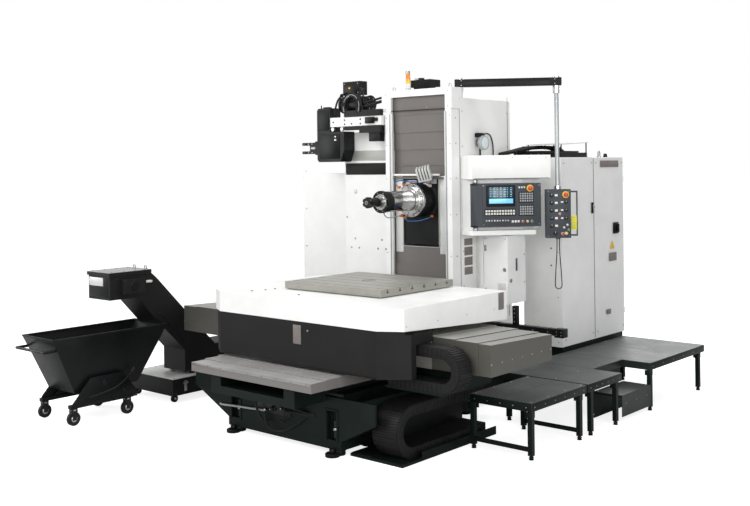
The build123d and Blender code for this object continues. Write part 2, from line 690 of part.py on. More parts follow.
def column_cap():
    """White cap over the casing."""
    cap = block((CAP_LEFT, CAP_RIGHT), (CASING_FRONT, CAP_BACK), (CAP_BOTTOM, CAP_TOP))
    cap -= block((-SHUTTER_HALF - SHUTTER_LIP, SHUTTER_HALF + SHUTTER_LIP), (CASING_FRONT + 30, CAP_BACK + 1),
                 (CAP_BOTTOM - 1, CAP_TOP - 12))
    cap -= block((-SHUTTER_HALF, SHUTTER_HALF), (CASING_FRONT - 1, CASING_FRONT + 31),
                 (CAP_BOTTOM - 1, SHUTTER_TOP))
    return cap - block((-CAP_RIGHT - 100, CAP_RIGHT + 1), (COLUMN_FACE - SEAT_GAP, CAP_BACK + 1),
                       (CAP_BOTTOM - 1, COLUMN_TOP + SEAT_GAP))


def sheet_plate(layer, low, high):
    """Steel sheet across the column's opening; a higher layer lies further back."""
    half = SHUTTER_HALF + SHUTTER_LIP
    face = SHUTTER_FACE + layer * SHELL_STEP
    return block((-half, half), (face, face + SHEET), (low, high))


def column_apron():
    """Fixed lower apron and fixed top shutter of the column."""
    half = SHUTTER_HALF + SHUTTER_LIP
    apron = block((-half, half), (APRON_FACE + SEAT_GAP, APRON_FACE + SEAT_GAP + SHEET),
                  (CASING_BOTTOM, APRON_TOP))
    top = sheet_plate(0, FIXED_SHUTTER_EDGE, CAP_TOP - 15)
    return group(apron, top)


def upper_shutter():
    """Travelling shutter next to the fixed one."""
    return sheet_plate(1, UPPER_SHUTTER_EDGE, UPPER_SHUTTER_EDGE + UPPER_SHUTTER_LENGTH)


def lower_shutter():
    """Travelling shutter next to the head's own."""
    return sheet_plate(2, LOWER_SHUTTER_EDGE, LOWER_SHUTTER_EDGE + LOWER_SHUTTER_LENGTH)


def head_sheet():
    """Sheets that travel with the head: one round its face and down behind the apron, one above."""
    half = SHUTTER_HALF + SHUTTER_LIP
    low = APRON_TOP - HEAD_TRAVEL_UP - HEAD_SHEET_TAIL
    frame = sheet_plate(0.75, low, HEAD_SHEET_TOP)
    frame -= block((-HEAD_WINDOW_HALF, HEAD_WINDOW_HALF), (SHUTTER_FACE - 20, SHUTTER_FACE + 40),
                   (HEAD_WINDOW_BOTTOM, HEAD_WINDOW_TOP))
    link = block((-half + 30, half - 30), (SHUTTER_FACE + 0.75 * SHELL_STEP, HEAD_FRONT - SEAT_GAP),
                 (HEAD_WINDOW_TOP, HEAD_SHEET_TOP))
    bar = block((-SHUTTER_HALF + 8, SHUTTER_HALF - 70), (SHUTTER_FACE - 22, SHUTTER_FACE + 0.75 * SHELL_STEP),
                (HEAD_SHEET_TOP - 22, HEAD_SHEET_TOP))
    above = sheet_plate(3, HEAD_SHEET_TOP - 10, HEAD_SHEET_TOP + HEAD_SHUTTER_LENGTH)
    return frame + link + bar + above


def head():
    """Spindle head: a box in the column's groove and a round snout through the sheet."""
    box = block((-HEAD_HALF, HEAD_HALF), (HEAD_FRONT, HEAD_BACK), (HEAD_BOTTOM, HEAD_TOP))
    for side in (-1, 1):
        low, high = sorted((side * HEAD_HALF, side * (GROOVE_HALF - GUIDE_GAP)))
        box += block((low, high), (COLUMN_FACE + 40, COLUMN_FACE + 200), (HEAD_BOTTOM, HEAD_TOP))
    box += block((-HEAD_WINDOW_HALF + 4, HEAD_WINDOW_HALF - 4), (HEAD_PAD_FACE, HEAD_FRONT),
                 (HEAD_WINDOW_BOTTOM + 22, HEAD_WINDOW_TOP - 4))
    box += rod_y(SNOUT_RADIUS, 0, SPINDLE_HEIGHT, SNOUT_FRONT, HEAD_FRONT)
    return box - rod_y(QUILL_RADIUS + 0.5, 0, SPINDLE_HEIGHT, SNOUT_FRONT - 1, HEAD_BACK + 1)


def head_flange():
    """Bright flange on the snout, round the quill."""
    flange = rod_y(FLANGE_RADIUS, 0, SPINDLE_HEIGHT, FLANGE_FRONT, SNOUT_FRONT - SEAT_GAP)
    flange += rod_y(FLANGE_RADIUS - 35, 0, SPINDLE_HEIGHT, FLANGE_FRONT - 40, FLANGE_FRONT)
    return flange - rod_y(QUILL_RADIUS + 0.5, 0, SPINDLE_HEIGHT, FLANGE_FRONT - 41, SNOUT_FRONT)


def quill():
    """Quill sleeve with its black nose ring, bored for the spindle."""
    sleeve = rod_y(QUILL_RADIUS, 0, SPINDLE_HEIGHT, QUILL_NOSE, QUILL_TAIL)
    ring = rod_y(NOSE_RING_RADIUS, 0, SPINDLE_HEIGHT, NOSE_RING_FRONT, QUILL_NOSE)
    bore = rod_y(SPINDLE_RADIUS + RUNNING_FIT, 0, SPINDLE_HEIGHT, NOSE_RING_FRONT - 1, QUILL_NOSE + 400)
    return sleeve + ring - bore


def spindle():
    """Spindle shaft and nose."""
    shaft = rod_y(SPINDLE_RADIUS, 0, SPINDLE_HEIGHT, NOSE_RING_FRONT, QUILL_NOSE + 400 - SEAT_GAP)
    nose = rod_y(SPINDLE_RADIUS - 8, 0, SPINDLE_HEIGHT, SPINDLE_NOSE, NOSE_RING_FRONT)
    return shaft + nose


def cutter():
    """Toothed face mill on a short arbor, seated on the spindle nose."""
    arbor = rod_y(ARBOR_RADIUS, 0, SPINDLE_HEIGHT, CUTTER_FRONT + 60, SPINDLE_NOSE - SEAT_GAP)
    collar = rod_y(ARBOR_RADIUS + 14, 0, SPINDLE_HEIGHT, SPINDLE_NOSE - 40, SPINDLE_NOSE - SEAT_GAP)
    disc = rod_y(CUTTER_RADIUS, 0, SPINDLE_HEIGHT, CUTTER_FRONT, CUTTER_FRONT + 60)
    for index in range(CUTTER_TEETH):
        turn = Pos(0, 0, SPINDLE_HEIGHT) * Rot(0, index * 360 / CUTTER_TEETH, 0)
        disc -= turn * Pos(CUTTER_RADIUS, CUTTER_FRONT + 20, 0) * Box(26, 60, 22)
    return arbor + collar + disc


def work_lamp():
    """Ribbed work lamp on a bracket at the head's upper right."""
    height = HEAD_WINDOW_TOP + WORK_LAMP_RISE
    lamp = (Pos(WORK_LAMP_X, WORK_LAMP_Y, height) * Rot(WORK_LAMP_TILT, 0, WORK_LAMP_TURN)
            * Box(WORK_LAMP_SIZE, WORK_LAMP_DEPTH, WORK_LAMP_SIZE))
    stem = block((WORK_LAMP_X + 15, WORK_LAMP_X + 40), (WORK_LAMP_Y, HEAD_PAD_FACE - SEAT_GAP),
                 (height - 100, height - 75))
    return lamp + stem


# Left of the column

def changer_body():
    """White housing of the tool changer beside the column."""
    return block((CHANGER_BODY_LEFT, -COLUMN_HALF - SEAT_GAP), (COLUMN_FACE, COLUMN_BACK),
                 (MAGAZINE_BOTTOM, CHANGER_BODY_TOP))


def tool_magazine():
    """White housing of the tool store, with a chamfered upper corner and legs to the floor."""
    right = CHANGER_BODY_LEFT - SEAT_GAP
    outline = [(MAGAZINE_LEFT, MAGAZINE_BOTTOM), (right, MAGAZINE_BOTTOM), (right, MAGAZINE_TOP + 130),
               (right - 60, MAGAZINE_TOP), (MAGAZINE_LEFT, MAGAZINE_TOP)]
    body = prism_y(outline, MAGAZINE_FRONT, MAGAZINE_BACK)
    for x in (MAGAZINE_LEFT, right - 100):
        for y in (MAGAZINE_FRONT + 40, MAGAZINE_BACK - 140):
            body += block((x, x + 100), (y, y + 100), (0, MAGAZINE_BOTTOM))
    return body


def changer_beam():
    """White beam that carries the tool carriage, with its foot on the changer's housing."""
    beam = block((CARRIAGE_NECK + SEAT_GAP, BEAM_RIGHT), (BEAM_FRONT, BEAM_BACK), (BEAM_BOTTOM, BEAM_TOP))
    return beam + block((BEAM_RIGHT - BEAM_FOOT_LENGTH, BEAM_RIGHT), (BEAM_BACK, COLUMN_FACE + 300),
                        (CHANGER_BODY_TOP + SEAT_GAP, BEAM_TOP))


def beam_rails():
    """Dark guide rails above and below the beam, with the motor below them."""
    front = BEAM_FRONT - RAIL_PROUD
    upper = block((BEAM_RAIL_LEFT, BEAM_RIGHT), (front, BEAM_FRONT + 45), (BEAM_TOP + SEAT_GAP, RAIL_TOP))
    lower = block((BEAM_RAIL_LEFT, BEAM_RIGHT), (front, BEAM_FRONT + 60),
                  (RAIL_BOTTOM + 20, BEAM_BOTTOM - SEAT_GAP))
    lower += block((LOW_RAIL_LEFT, BEAM_RIGHT), (front, BEAM_FRONT + 60),
                   (RAIL_BOTTOM - 20, RAIL_BOTTOM + 20))
    lower += block((BEAM_MOTOR_LEFT, BEAM_MOTOR_RIGHT), (BEAM_FRONT + 5, BEAM_FRONT + 95),
                   (BEAM_MOTOR_BOTTOM, RAIL_BOTTOM - 20))
    return group(upper, lower)


def tool_carriage():
    """Black tool carriage at the end of the beam, with a two-fingered gripper."""
    bottom, top = CARRIAGE_BOTTOM, CARRIAGE_TOP
    shelf = RAIL_BOTTOM + 10
    outline = [(CARRIAGE_LEFT, top - 25), (CARRIAGE_LEFT, bottom + 30), (CARRIAGE_LEFT + 25, bottom),
               (CARRIAGE_RIGHT - 60, bottom), (CARRIAGE_RIGHT, bottom + 150), (CARRIAGE_RIGHT, shelf),
               (CARRIAGE_NECK, shelf), (CARRIAGE_NECK, top), (CARRIAGE_LEFT + 25, top)]
    body = prism_y(outline, BEAM_FRONT, CARRIAGE_BACK)
    grip = bottom + 185
    body += block((CARRIAGE_LEFT - 70, CARRIAGE_LEFT), (BEAM_FRONT + 30, BEAM_FRONT + 160),
                  (grip - 90, grip + 90))
    body += block((CARRIAGE_LEFT - 200, CARRIAGE_LEFT), (BEAM_FRONT + 60, BEAM_FRONT + 130),
                  (grip - 75, grip + 75))
    for side in (-1, 1):
        low, high = sorted((grip + side * 38, grip + side * 75))
        body += block((CARRIAGE_LEFT - 340, CARRIAGE_LEFT), (BEAM_FRONT + 60, BEAM_FRONT + 130), (low, high))
    return body


def changer_drive():
    """Black drive above the beam: a drum on a stand, with a gear box on its neck."""
    axis = BEAM_TOP + DRUM_RADIUS + DRUM_LIFT
    stand = block((DRUM_LEFT + 60, DRUM_RIGHT - 60), (BEAM_FRONT + 60, BEAM_BACK),
                  (BEAM_TOP + SEAT_GAP, axis - DRUM_RADIUS + 20))
    drum = rod_x(DRUM_RADIUS, BEAM_FRONT + 110, axis, DRUM_LEFT, DRUM_RIGHT)
    neck = block((DRIVE_BOX_LEFT + 70, DRIVE_BOX_RIGHT - 75), (BEAM_FRONT + 80, BEAM_FRONT + 140),
                 (axis, axis + DRIVE_BOX_LIFT + 10))
    box = block((DRIVE_BOX_LEFT, DRIVE_BOX_RIGHT), (BEAM_FRONT + 50, BEAM_FRONT + 190),
                (axis + DRIVE_BOX_LIFT, axis + DRIVE_BOX_LIFT + DRIVE_BOX_HEIGHT))
    return stand + drum + neck + box


def column_top_drive():
    """Black motor on the column's top, on a narrower foot."""
    floor, inset = COLUMN_TOP + TOP_MOTOR_LIFT, 20
    motor = block((TOP_MOTOR_LEFT, TOP_MOTOR_RIGHT), (TOP_MOTOR_FRONT, TOP_MOTOR_BACK),
                  (floor, floor + TOP_MOTOR_HEIGHT))
    motor += block((TOP_MOTOR_LEFT + 3 * inset, TOP_MOTOR_RIGHT - 3 * inset),
                   (TOP_MOTOR_FRONT + inset, TOP_MOTOR_BACK - inset), (COLUMN_TOP + SEAT_GAP, floor + 10))
    return motor + rod_z(40, -270, 2220, floor + TOP_MOTOR_HEIGHT - 10, floor + TOP_MOTOR_HEIGHT + 30)


def beacon():
    """Signal beacon on the cap."""
    return rod_z(BEACON_RADIUS, -190, 1860, CAP_TOP + SEAT_GAP, BEACON_TOP)


def side_lamp():
    """Round work lamp on an arm at the column's right side."""
    y, z = COLUMN_FACE + 350, COLUMN_TOP - 535
    arm = rod_x(16, y, z, COLUMN_HALF + SEAT_GAP, COLUMN_HALF + 90)
    lamp = rod_x(SIDE_LAMP_RADIUS, y, z, COLUMN_HALF + 70, COLUMN_HALF + 120)
    return arm + lamp + rod_x(45, y, z, COLUMN_HALF + SEAT_GAP, COLUMN_HALF + 15)


# Right of the column

def pendant_arm():
    """Swing arm on a post, with the pole that carries the pendant."""
    length = math.hypot(ARM_END_X - ARM_PIVOT_X, ARM_END_Y - ARM_PIVOT_Y)
    turn = math.degrees(math.atan2(ARM_END_Y - ARM_PIVOT_Y, ARM_END_X - ARM_PIVOT_X))
    beam = block((-60, length + 60), (-ARM_WIDTH / 2, ARM_WIDTH / 2), (ARM_BOTTOM, ARM_BOTTOM + ARM_HEIGHT))
    pole = rod_z(POLE_RADIUS, length, 0, PENDANT_TOP + GUIDE_GAP, ARM_BOTTOM)
    return Pos(ARM_PIVOT_X, ARM_PIVOT_Y, 0) * Rot(0, 0, turn) * (beam + pole)


def pendant_place():
    """Position and turn of the pendant about its pole."""
    return Pos(ARM_END_X, ARM_END_Y, 0) * Rot(0, 0, PENDANT_TURN)


def pendant():
    """Control pendant with a handle frame at its right and two cable glands below."""
    half, depth = PENDANT_WIDTH / 2, PENDANT_DEPTH / 2
    body = block((-half, half), (-depth, depth), (PENDANT_BOTTOM, PENDANT_TOP))
    for z in (PENDANT_BOTTOM + 20, PENDANT_TOP - 40):
        body += block((half, half + 90), (-8, 8), (z, z + 20))
    body += block((half + 75, half + 90), (-8, 8), (PENDANT_BOTTOM + 20, PENDANT_TOP - 20))
    for side in (-1, 1):
        body += rod_z(11, side * 14, 0, PENDANT_BOTTOM - 20, PENDANT_BOTTOM)
    return pendant_place() * body


def pendant_cord_points():
    """Route of the pendant's cable from one gland to the other, in the pendant's own plan."""
    down = [(14, 0), (14, -100), (21, -230), (33, -385), (39, -500), (40, -561.6), (16.6, -585)]
    left = [(-x, z) for x, z in down]
    return [Vector(x, 0, PENDANT_BOTTOM - 20 + z) for x, z in left + down[::-1]]


def pendant_cord():
    """Cable that hangs in a loop below the pendant."""
    points = pendant_cord_points()
    radii = []
    for before, here, after in zip(points, points[1:], points[2:]):
        turn = math.radians((here - before).get_angle(after - here))
        run = min((here - before).length, (after - here).length)
        radii.append(0.45 * run / math.tan(turn / 2))
    path = FilletPolyline(*points, radius=radii)
    print("pendant cord length", round(path.length, 1), "radii", [round(r) for r in radii])
    section = Plane(origin=points[0], z_dir=path % 0) * Circle(CORD_RADIUS)
    tube = sweep(section, path=path)
    print("pendant cord volume ratio", tube.volume / (path.length * math.pi * CORD_RADIUS**2))
    return pendant_place() * tube


def panel_bracket():
    """White bracket on the column's side: hood above the panel, back and ledge below."""
    near = COLUMN_HALF + SEAT_GAP
    plan = [(near, 1960), (690, 1880), (735, 1880), (1353, 2615), (1270, 2690), (near, 2690)]
    back = [(near, 1975), (680, 1975), (720, 2010), (1080, 2420), (1140, 2560), (1140, 2690),
            (near, 2690)]
    ledge = [(near, 1960), (690, 1880), (735, 1880), (1230, 2475), (1150, 2560), (near, 2560)]
    return (prism_z(plan, HOOD_BOTTOM, HOOD_TOP) + prism_z(ledge, LEDGE_BOTTOM, LEDGE_TOP)
            + prism_z(back, LEDGE_TOP, HOOD_BOTTOM))


def panel_place():
    """Position and turn of the operator's panel about its hinge."""
    return Pos(PANEL_HINGE_X, PANEL_HINGE_Y, 0) * Rot(0, 0, PANEL_TURN)


def operator_panel():
    """Operator's panel with a round post at its hinge side."""
    depth = PANEL_DEPTH / 2
    body = block((0, PANEL_WIDTH), (-depth, depth), (PANEL_BOTTOM, PANEL_TOP))
    body += rod_z(PANEL_POST_RADIUS, 0, 0, PANEL_BOTTOM, PANEL_TOP)
    body += rod_z(28, 0, 0, LEDGE_TOP + GUIDE_GAP, HOOD_BOTTOM - GUIDE_GAP)
    return panel_place() * body


def service_box():
    """Service box frame beside the column, behind its door."""
    low, high = SERVICE_BOTTOM + 6, SERVICE_TOP - 6
    inner = block((COLUMN_HALF + SEAT_GAP, SERVICE_RIGHT - 60), (SERVICE_FRONT + 60, SERVICE_BACK - 20),
                  (low, high))
    post = block((SERVICE_LEFT - 60, SERVICE_LEFT - SERVICE_KNUCKLE - SEAT_GAP),
                 (SERVICE_FRONT, SERVICE_FRONT + 60), (low, high))
    return inner + post


def service_door():
    """L-shaped service door, hinged at its left edge, with a slot handle in its side."""
    front = block((SERVICE_LEFT, SERVICE_RIGHT), (SERVICE_FRONT, SERVICE_FRONT + SERVICE_SHEET),
                  (SERVICE_BOTTOM, SERVICE_TOP))
    side = block((SERVICE_RIGHT - SERVICE_SHEET, SERVICE_RIGHT), (SERVICE_FRONT, SERVICE_BACK),
                 (SERVICE_BOTTOM, SERVICE_TOP))
    slot = block((SERVICE_RIGHT - SERVICE_SHEET / 2, SERVICE_RIGHT + 1), (2380, 2415), (1600, 1740))
    door = front + side - slot
    for z in SERVICE_HINGES:
        door += rod_z(SERVICE_KNUCKLE, SERVICE_LEFT, SERVICE_FRONT, z, z + 70)
    return door


def duct_beam():
    """Dark cable duct along X beside the column."""
    return block((COLUMN_HALF + SEAT_GAP, 1710), (2260, 2340), (900, 975))


def cabinet():
    """Electrical cabinet: a steel box, open at the right behind its doors."""
    body = block((CABINET_LEFT, CABINET_RIGHT - DOOR_THICKNESS - SEAT_GAP), (CABINET_FRONT, CABINET_BACK),
                 (CABINET_BOTTOM, CABINET_TOP))
    wall = CABINET_WALL
    return body - block((CABINET_LEFT + wall, CABINET_RIGHT), (CABINET_FRONT + wall, CABINET_BACK - wall),
                        (CABINET_BOTTOM + wall, CABINET_TOP - wall))


def cabinet_stand():
    """Dark plinth under the cabinet, down to the floor."""
    inset = STAND_INSET
    return block((CABINET_LEFT + inset, CABINET_RIGHT - inset), (CABINET_FRONT + inset, CABINET_BACK - inset),
                 (0, CABINET_BOTTOM - SEAT_GAP))


def cabinet_door(index):
    """One of the cabinet's two doors."""
    middle = (CABINET_FRONT + CABINET_BACK) / 2
    edges = (CABINET_FRONT, middle - DOOR_GAP / 2) if index == 0 else (middle + DOOR_GAP / 2, CABINET_BACK)
    door = block((CABINET_RIGHT - DOOR_THICKNESS, CABINET_RIGHT), edges,
                 (CABINET_BOTTOM + 4, CABINET_TOP - 4))
    hinge = CABINET_FRONT if index == 0 else CABINET_BACK
    for z in (CABINET_BOTTOM + 250, CABINET_TOP - 330):
        door += rod_z(DOOR_KNUCKLE, CABINET_RIGHT, hinge, z, z + 80)
    return door


def cabinet_roof_unit():
    """Cooling unit and conduits on the cabinet."""
    floor = CABINET_TOP + SEAT_GAP
    left, front = CABINET_LEFT - 90, CABINET_FRONT - 60
    duct = block((left, left + ROOF_DUCT_WIDTH), (front, front + ROOF_DUCT_LENGTH),
                 (floor, floor + ROOF_DUCT_HEIGHT))
    return duct + block((left + ROOF_DUCT_WIDTH - 30, CABINET_RIGHT - 40), (front + 120, CABINET_FRONT + 700),
                        (floor, floor + ROOF_UNIT_HEIGHT))


# Platforms

def leg_frame(places, deck_bottom):
    """Square legs on screw pads at the given plan places."""
    legs = []
    for x, y in places:
        half = LEG_SIZE / 2
        leg = block((x - half, x + half), (y - half, y + half), (LEG_PAD_HEIGHT, deck_bottom - SEAT_GAP))
        legs.append(leg + rod_z(16, x, y, 0, LEG_PAD_HEIGHT))
    return legs


def front_deck():
    """Deck of the front platform."""
    deck = block((FRONT_DECK_LEFT, DECK_RIGHT), (FRONT_DECK_FRONT, FRONT_DECK_BACK),
                 (DECK_TOP - DECK_EDGE, DECK_TOP))
    for x in (FRONT_DECK_LEFT + 100, DECK_RIGHT - 160):
        deck += block((x, x + 60), (FRONT_DECK_BACK, REAR_DECK_FRONT - SEAT_GAP),
                      (DECK_TOP - DECK_EDGE + 10, DECK_TOP - 20))
    return deck


def front_leg_places():
    """Plan places of the front platform's legs."""
    inset = LEG_SIZE / 2
    return [(x, y) for x in (FRONT_DECK_LEFT + inset, DECK_RIGHT - inset)
            for y in (FRONT_DECK_FRONT + inset, FRONT_DECK_BACK - inset - 90)]


def rear_deck():
    """Deck of the rear platform, notched for the step."""
    outline = [(REAR_DECK_LEFT, REAR_DECK_FRONT), (DECK_RIGHT, REAR_DECK_FRONT), (DECK_RIGHT, NOTCH_FRONT),
               (NOTCH_LEFT, NOTCH_FRONT), (NOTCH_LEFT, NOTCH_BACK), (DECK_RIGHT, NOTCH_BACK),
               (DECK_RIGHT, REAR_DECK_BACK), (REAR_DECK_LEFT, REAR_DECK_BACK)]
    deck = prism_z(outline, DECK_TOP - DECK_EDGE, DECK_TOP)
    for y in (CABINET_FRONT + 200, CABINET_BACK - 500):
        deck += block((CABINET_RIGHT - STAND_INSET + SEAT_GAP, REAR_DECK_LEFT + 1), (y, y + 80),
                      (DECK_TOP - DECK_EDGE, DECK_TOP - 20))
    return deck


def rear_leg_places():
    """Plan places of the rear platform's legs."""
    inset = LEG_SIZE / 2
    right = DECK_RIGHT - inset
    left = REAR_DECK_LEFT + inset + 60
    return [(right, REAR_DECK_FRONT + inset + 60), (right, NOTCH_FRONT - inset - 80),
            (right, NOTCH_BACK + inset), (right, REAR_DECK_BACK - inset - 120),
            (left, REAR_DECK_BACK - inset - 150), (left, REAR_DECK_FRONT + inset + 60),
            (NOTCH_LEFT - inset, NOTCH_FRONT + inset)]


def platform_legs():
    """Legs of both platforms."""
    legs = leg_frame(front_leg_places() + rear_leg_places(), DECK_TOP - DECK_EDGE)
    half = LEG_SIZE / 2
    frames = []
    for low, high in ((0, 2), (1, 3)):
        x, y = front_leg_places()[low]
        bar = block((x, DECK_RIGHT - half), (y - half + 8, y + half - 8), (BAR_HEIGHT, BAR_HEIGHT + 40))
        frames.append(bar + legs[low] + legs[high])
    return group(*frames, *legs[4:])


def step():
    """Lower step in the notch of the rear platform."""
    back = NOTCH_BACK - SEAT_GAP
    tread = block((NOTCH_LEFT + 10, DECK_RIGHT), (NOTCH_FRONT + 5, back), (STEP_TOP - 30, STEP_TOP))
    cheek = block((DECK_RIGHT - 6, DECK_RIGHT), (NOTCH_FRONT + 5, back), (60, STEP_TOP - 30))
    inner = block((NOTCH_LEFT + 10, NOTCH_LEFT + 16), (NOTCH_FRONT + 5, back), (0, STEP_TOP - 30))
    return tread + cheek + inner


# Cable chains

def chain_outline(length, bottom, top, band):
    """Outline of a U-shaped chain whose bend is at its low end, with a notch between links."""
    middle, outer = (top + bottom) / 2, (top - bottom) / 2
    count = int((length - outer) / CHAIN_PITCH)
    start = outer + count * CHAIN_PITCH

    def arc(radius, steps, reverse):
        turns = [math.pi / 2 + math.pi * i / steps for i in range(steps + 1)]
        points = [(outer + radius * math.cos(a), middle + radius * math.sin(a)) for a in turns]
        return points[::-1] if reverse else points

    def straight(z, toward, inward):
        points = []
        for i in range(count):
            x = start - i * CHAIN_PITCH if toward else outer + (i + 1) * CHAIN_PITCH
            near = x - 3 if toward else x + 3 - CHAIN_PITCH
            far = x - CHAIN_PITCH + 3 if toward else x - 3
            points += [(near, z), (far, z), (far, z + inward), (far - 6 if toward else far + 6, z + inward)]
        return points

    top_run = straight(top, True, -CHAIN_NOTCH)[:-2]
    bend_steps = max(8, int(math.pi * outer / CHAIN_PITCH))
    low_run = straight(bottom, False, CHAIN_NOTCH)[:-2]
    inner_bend = arc(outer - band, bend_steps, True)
    return (top_run + arc(outer, bend_steps, False)[1:-1] + low_run
            + [(start, bottom), (start, bottom + band)] + inner_bend
            + [(start, top - band), (start, top)])


def bed_cable_chain():
    """Large cable chain beside the bed, its bend to the front."""
    points = chain_outline(BED_CHAIN_LENGTH, BED_CHAIN_BOTTOM, BED_CHAIN_TOP, BED_CHAIN_BAND)
    return prism_x([(BED_CHAIN_FRONT + u, z) for u, z in points], BED_CHAIN_LEFT, BED_CHAIN_RIGHT)


def saddle_cable_chain():
    """Small cable chain on the saddle, its bend to the right, on a bracket."""
    points = chain_outline(SADDLE_CHAIN_LENGTH, SADDLE_CHAIN_BOTTOM, SADDLE_CHAIN_TOP, SADDLE_CHAIN_BAND)
    return prism_y([(SADDLE_CHAIN_RIGHT - u, z) for u, z in points], SADDLE_CHAIN_FRONT, SADDLE_CHAIN_BACK)


def cable_tray():
    """Floor tray under the large chain."""
    front = BED_CHAIN_FRONT
    back = front + BED_CHAIN_LENGTH + 60
    floor = block((TRAY_LEFT, TRAY_RIGHT), (front, back), (0, BED_CHAIN_BOTTOM - SEAT_GAP))
    return floor + block((TRAY_RIGHT - 4, TRAY_RIGHT), (front + 300, back), (0, 90))


# Chip conveyor, tank and cart

def chip_conveyor():
    """Chip conveyor: trough, 45 degree riser and discharge head with its drive box."""
    outline = [(-940, 1330), (-560, 1330), (-270, 1016), (140, 606), (140, 330), (2000, 330), (2000, 620),
               (620, 620), (100, 1155), (-280, 1546), (-380, 1630), (-940, 1630)]
    body = prism_x(outline, CONVEYOR_LEFT, CONVEYOR_RIGHT)
    drive = block((CONVEYOR_RIGHT, CONVEYOR_RIGHT + 70), (-800, -480), (1390, 1560))
    drive += block((CONVEYOR_LEFT - 15, CONVEYOR_RIGHT + 15), (-955, -360), (1610, 1650))
    for y, foot in ((240, TANK_TOP + SEAT_GAP), (1800, 0)):
        for x in (CONVEYOR_LEFT, CONVEYOR_RIGHT - 50):
            body += block((x, x + 50), (y, y + 50), (foot, 331))
    return body + drive


def coolant_tank():
    """Low coolant tank on casters."""
    body = block((TANK_LEFT, TANK_RIGHT), (TANK_FRONT, TANK_BACK), (TANK_BOTTOM, TANK_TOP))
    for x in (TANK_LEFT + 80, TANK_RIGHT - 80):
        for y in (TANK_FRONT + 80, TANK_BACK - 80):
            body += rod_x(45, y, 45, x - 18, x + 18)
            body += block((x - 25, x + 25), (y - 30, y + 30), (70, TANK_BOTTOM))
    return body


def hopper_solid(inset):
    """Tapered hopper body, drawn in by inset on every side."""
    def level(z, half, front, back):
        face = Rectangle(2 * (half - inset), back - front - 2 * inset)
        return Pos(CART_CENTRE, (front + back) / 2, z) * face
    rim = level(CART_RIM, CART_HALF, CART_FRONT, CART_BACK)
    waist = level(CART_RIM - 190, CART_HALF - 30, CART_FRONT + 90, CART_BACK - 90)
    base = level(HOPPER_FLOOR + inset, CART_HALF - 60, CART_FRONT + 440, CART_BACK - 440)
    return loft([base, waist, rim], ruled=True)


def cart_hopper():
    """Open tapered hopper of the chip cart, with a tube handle."""
    shell = hopper_solid(0) - hopper_solid(CART_WALL)
    handle = rod_x(HANDLE_RADIUS, CART_FRONT - HANDLE_REACH, HANDLE_HEIGHT, CART_CENTRE - CART_HALF + 40,
                   CART_CENTRE + CART_HALF - 40)
    for side in (-1, 1):
        x = CART_CENTRE + side * (CART_HALF - 40 - HANDLE_RADIUS)
        handle += rod_y(HANDLE_RADIUS - 2, x, HANDLE_HEIGHT, CART_FRONT - HANDLE_REACH, CART_FRONT + 70)
    return shell + handle


def cart_frame():
    """Frame of the chip cart: side plates and cross bars."""
    pieces = None
    for side in (-1, 1):
        inner = CART_CENTRE + side * CART_PLATE_HALF
        low, high = sorted((inner, inner + side * 8))
        outline = [(-1400, 190), (-640, 190), (-640, 260), (-800, 480), (-1120, 480)]
        plate = prism_x(outline, low, high)
        pieces = plate if pieces is None else pieces + plate
        low, high = sorted((CART_CENTRE + side * 270, CART_CENTRE + side * 330))
        pieces += block((low, high), (-1530, -700), (190, 230))
    for y in (-1250, -850):
        pieces += block((CART_CENTRE - CART_PLATE_HALF, CART_CENTRE + CART_PLATE_HALF), (y, y + 50),
                        (HOPPER_FLOOR - 60, HOPPER_FLOOR - SEAT_GAP))
    return pieces


def caster_places():
    """Plan positions of the cart's casters."""
    return [(CART_CENTRE + side * 300, y) for side in (-1, 1) for y in (-1480, -770)]


def cart_casters():
    """Four swivel casters of the chip cart."""
    casters = []
    for x, y in caster_places():
        wheel = rod_x(CASTER_RADIUS, y, CASTER_RADIUS, x - CASTER_WIDTH / 2, x + CASTER_WIDTH / 2)
        fork = block((x - 32, x + 32), (y - 35, y + 35), (CASTER_RADIUS + 60, 190 - SEAT_GAP))
        for side in (-1, 1):
            low, high = sorted((x + side * 22, x + side * 30))
            fork += block((low, high), (y - 25, y + 25), (CASTER_RADIUS - 15, CASTER_RADIUS + 70))
        wheel += rod_x(10, y, CASTER_RADIUS, x - 32, x + 32)
        casters.append(wheel + fork)
    return group(*casters)


